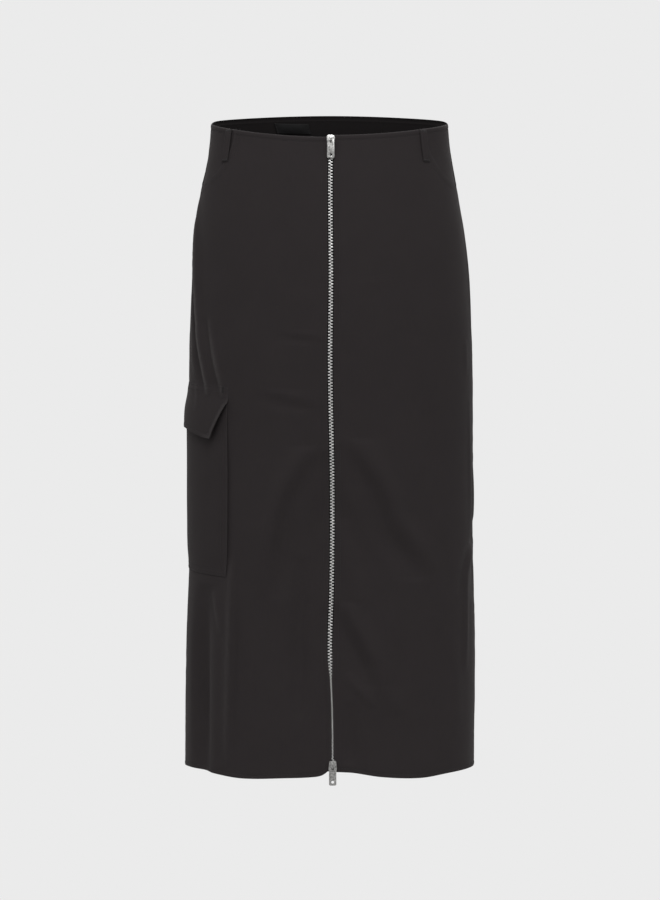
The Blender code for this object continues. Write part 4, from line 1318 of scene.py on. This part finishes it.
def patch_lines():
    """Rows on the cargo pocket, its flap and the belt loops."""
    for inset in POCKET_STITCHES:
        down = np.linspace(46, POCKET_DEPTH - inset, 60)
        across = np.linspace(POCKET_FRONT - inset, POCKET_BACK + inset, 70)[1:-1]
        line = (
            np.concatenate([np.full(60, POCKET_FRONT - inset), across, np.full(60, POCKET_BACK + inset)]),
            np.concatenate([down, np.full(68, POCKET_DEPTH - inset), down[::-1]]),
        )
        girth, height = patch_place(*line, POCKET_TOP)
        yield line_on(girth, height, pocket_out(*line) + STITCH_OUT)
    line = beside(flap_edge_line(), -FLAP_STITCH)
    line = tuple(values[(line[1] > 8.5)] for values in line)
    girth, height = patch_place(*line, FLAP_TOP)
    yield line_on(girth, height, flap_out(*line) + STITCH_OUT)
    for down in (2.0, 7.0):
        across = np.linspace(FLAP[0].across + 1.5, FLAP[-1].across - 1.5, 70)
        drop = np.full(across.shape, down)
        girth, height = patch_place(across, drop, FLAP_TOP)
        yield line_on(girth, height, flap_out(across, drop) + STITCH_OUT)
    for loop in LOOPS:
        for across in (-LOOP_WIDTH / 2 + 1.7, LOOP_WIDTH / 2 - 1.7):
            girth, height, out = loop_place(loop, across, np.linspace(1, LOOP_LENGTH - 1, 30))
            yield line_on(girth, height, out + STITCH_OUT - 0.1)
    for end in (-LABEL_WIDTH / 2 + 1.6, LABEL_WIDTH / 2 - 1.6):
        girth, height = label_place(np.full(8, end), np.linspace(0.8, LABEL_HEIGHT - 0.8, 8))
        points, normals = line_on(girth, height, -(WALL + PATCH_GAP) - 0.35)
        yield points, -normals


def tack_lines():
    """Bar tacks: short dense rows at the loops' ends, the flap's top corners and the mouths' ends."""
    for loop in LOOPS:
        for down in (1.6, 2.3, LOOP_LENGTH - 2.3, LOOP_LENGTH - 1.6):
            girth, height, out = loop_place(loop, np.linspace(-4, 4, 9), np.full(9, down))
            yield line_on(girth, height, out - 0.05)
    for across, down in ((POCKET_FRONT - 4.5, 4.0), (POCKET_BACK + 4.5, 4.0)):
        for shift in (-0.5, 0.5):
            line = np.full(7, across + shift), np.linspace(down - 3, down + 3, 7)
            girth, height = patch_place(*line, FLAP_TOP)
            yield line_on(girth, height, flap_out(*line) + STITCH_OUT)
    for side in (RIGHT, LEFT):
        girth, height = mouth_line(side)
        for shift in (1.4, 2.2):
            up = np.full(7, height[-1] + 2.5)
            along = girth[-1] - side * (shift + np.linspace(0, 6, 7))
            yield line_on(along, up - np.linspace(0, 2, 7) + shift, 0.1)


def sewing():
    rows = [*panel_lines(), *facing_lines(), *patch_lines()]
    turn = (0.05, 0.05, 0.07)
    made = set_along(
        "topstitching", rows, stitch_piece(2.5, 0.55, 0.5), Pitch=3.0 * MM, Turn=turn, Seed=4, Finish=THREAD
    )
    tacks = set_along(
        "bar_tacks", [*tack_lines()], stitch_piece(0.5, 1.9, 0.5),
        Pitch=0.55 * MM, Turn=(0, 0.1, 0.2), Seed=5, Finish=THREAD,
    )
    for piece in (made, tacks):
        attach(piece, "skirt")


# ---------------------------------------------------------------- the zip's metal

TOOTH_PITCH = 3.5  # on each tape
TOOTH_MIDDLE = 1.1  # from the zip's middle line to a tooth's own middle
TOOTH_HIGH, TOOTH_SHOULDER, TOOTH_LOW = 1.0, 0.6, -1.2
TOOTH_NECK = 0.3  # the place along its outline that its levels draw in to
TOOTH_OUTLINE = [
    (-0.75, -1.5),
    (0.75, -1.5),
    (0.85, -0.6),
    (0.9, 0.5),
    (0.7, 1.5),
    (-0.7, 1.5),
    (-0.9, 0.5),
    (-0.85, -0.6),
]


def tooth_piece():
    """One tooth: a leg clamped on the tape's bead and a narrower head, which lies over the middle."""
    levels = (0.9, TOOTH_LOW), (1.0, TOOTH_SHOULDER), (0.86, TOOTH_HIGH - 0.1), (0.62, TOOTH_HIGH)
    return ringed_piece("tooth", [
        [(x * share, TOOTH_NECK + (y - TOOTH_NECK) * share, up) for x, y in TOOTH_OUTLINE]
        for share, up in levels
    ])


def zip_teeth():
    top, low = SLIDER_TOP_HEIGHT + CHAIN_ALONG - 1, SLIDER_BOTTOM_HEIGHT - CHAIN_ALONG + 1
    lines = []
    for side, start in ((RIGHT, top), (LEFT, top - TOOTH_PITCH / 2)):
        count = int((start - low) / TOOTH_PITCH)
        height = start - TOOTH_PITCH * np.arange(count + 1)
        if side == LEFT:
            height = height[::-1]
        lines.append(line_on(zip_girth(height) + side * TOOTH_MIDDLE, height, 0.0))
    made = set_along(
        "zip_teeth", lines, tooth_piece(),
        Pitch=TOOTH_PITCH * MM, Turn=(0.2, 0.14, 0.08), Seed=6, Finish=TEETH_METAL,
    )
    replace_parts(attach(made, "skirt"), "zip_chain")


def bevelled_copy(node, width, body):
    """The CAD piece with its edges rounded off."""
    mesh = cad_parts[node].data.copy()
    bm = bmesh.new()
    bm.from_mesh(mesh)
    bmesh.ops.remove_doubles(bm, verts=bm.verts, dist=1e-6)
    bmesh.ops.dissolve_limit(bm, angle_limit=math.radians(2), verts=bm.verts, edges=bm.edges)
    bm.to_mesh(mesh)
    bm.free()
    mesh.materials.clear()
    mesh.materials.append(METAL)
    made = put_in_scene(node + "_metal", mesh)
    bevel = made.modifiers.new("rounded", "BEVEL")
    bevel.width = width * MM
    bevel.segments = 2
    bevel.limit_method = "ANGLE"
    bevel.angle_limit = math.radians(32)
    bevel.use_clamp_overlap = True
    graph = bpy.context.evaluated_depsgraph_get()
    finished = bpy.data.meshes.new_from_object(made.evaluated_get(graph))
    made.modifiers.clear()
    made.data = finished
    finished.shade_smooth()
    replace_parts(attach(made, body), node)


def zip_metalwork():
    zip_teeth()
    for node, width, body in (
        ("zip_slider_top", 0.25, "skirt"),
        ("zip_slider_bottom", 0.25, "skirt"),
        ("zip_pull_top", 0.2, "pull_top"),
        ("zip_pull_bottom", 0.2, "pull_bottom"),
    ):
        bevelled_copy(node, width, body)


# ---------------------------------------------------------------- floor, light and camera

FLOOR_HEIGHT = -1.35
FLOOR_RADIUS = 2.3
BACKDROP = 0.831  # a plain pale wall
ROOM_LIGHT = (0.0, 1.21)  # what the room sheds, from below and from above
LAMPS_AIM = Vector((0, 0, -0.38))
Lamp = namedtuple("Lamp", "name place size power")
LAMPS = [
    Lamp("high_front", (0, -2.1, 2.3), 1.6, 62),
    Lamp("high_back", (0.5, 2.3, 2.2), 1.6, 52),
]


def studio():
    world = bpy.data.worlds.new("white_studio")
    world.use_nodes = True
    tree = world.node_tree
    add = tree.nodes.new
    backdrop = tree.nodes["Background"]
    backdrop.inputs["Color"].default_value = (BACKDROP, BACKDROP, BACKDROP, 1)
    room, seen = add("ShaderNodeBackground"), add("ShaderNodeLightPath")
    direction, parts = add("ShaderNodeTexCoord"), add("ShaderNodeSeparateXYZ")
    height, chosen = add("ShaderNodeMapRange"), add("ShaderNodeMixShader")
    for socket, value in zip(("From Min", "From Max", "To Min", "To Max"), (-1, 1, *ROOM_LIGHT)):
        height.inputs[socket].default_value = value
    room.inputs["Color"].default_value = (1, 0.99, 0.985, 1)
    join_nodes(tree, (
        (direction, "Generated", parts, "Vector"),
        (parts, "Z", height, "Value"),
        (height, "Result", room, "Strength"),
        (seen, "Is Camera Ray", chosen, 0),
        (room, 0, chosen, 1),
        (backdrop, 0, chosen, 2),
        (chosen, 0, tree.nodes["World Output"], "Surface"),
    ))
    bpy.context.scene.world = world
    bm = bmesh.new()
    bmesh.ops.create_circle(bm, cap_ends=True, segments=96, radius=FLOOR_RADIUS)
    mesh = bpy.data.meshes.new("floor")
    bm.to_mesh(mesh)
    bm.free()
    for vertex in mesh.vertices:
        vertex.co.z = FLOOR_HEIGHT
    floor = put_in_scene("floor", mesh)
    wire = Wiring("pale_floor", (0.62, 0.62, 0.62), 0.9)
    wire.join(wire.blend(wire.noise(wire.place(), 3, 3), (0.6, 0.6, 0.6), (0.64, 0.64, 0.64)), "Base Color")
    mesh.materials.append(wire.finish)
    for lamp in LAMPS:
        light = bpy.data.lights.new(lamp.name, "AREA")
        light.shape = "DISK"
        light.size = lamp.size
        light.energy = lamp.power
        made = put_in_scene(lamp.name, light)
        made.location = lamp.place
        aim = LAMPS_AIM - made.location
        made.rotation_euler = aim.to_track_quat("-Z", "Y").to_euler()


CAMERA_AWAY = 3.0
CAMERA_HEIGHT = -0.3847
PHOTO_HEIGHT = 1.062  # metres that the photograph's height covers at the skirt's middle


def photo_camera():
    camera = bpy.data.cameras.new("photo_camera")
    camera.sensor_width = 36
    camera.lens = 36 * CAMERA_AWAY / PHOTO_HEIGHT
    made = put_in_scene("photo_camera", camera)
    made.location = (0, -CAMERA_AWAY, CAMERA_HEIGHT)
    made.rotation_euler = (math.pi / 2, 0, 0)
    bpy.context.scene.camera = made
    bpy.context.scene.view_settings.view_transform = "Standard"


# ---------------------------------------------------------------- the skirt

photo_camera()
studio()
front("front_right_cloth", RIGHT)
front("front_left_cloth", LEFT)
back()
hip_facing("hip_facing_right_cloth", RIGHT)
hip_facing("hip_facing_left_cloth", LEFT)
cargo_pocket()
cargo_flap()
for belt in LOOPS:
    belt_loop(belt)
label()
zip_tape("zip_tape_right_cloth", RIGHT)
zip_tape("zip_tape_left_cloth", LEFT)
sewing()
zip_metalwork()
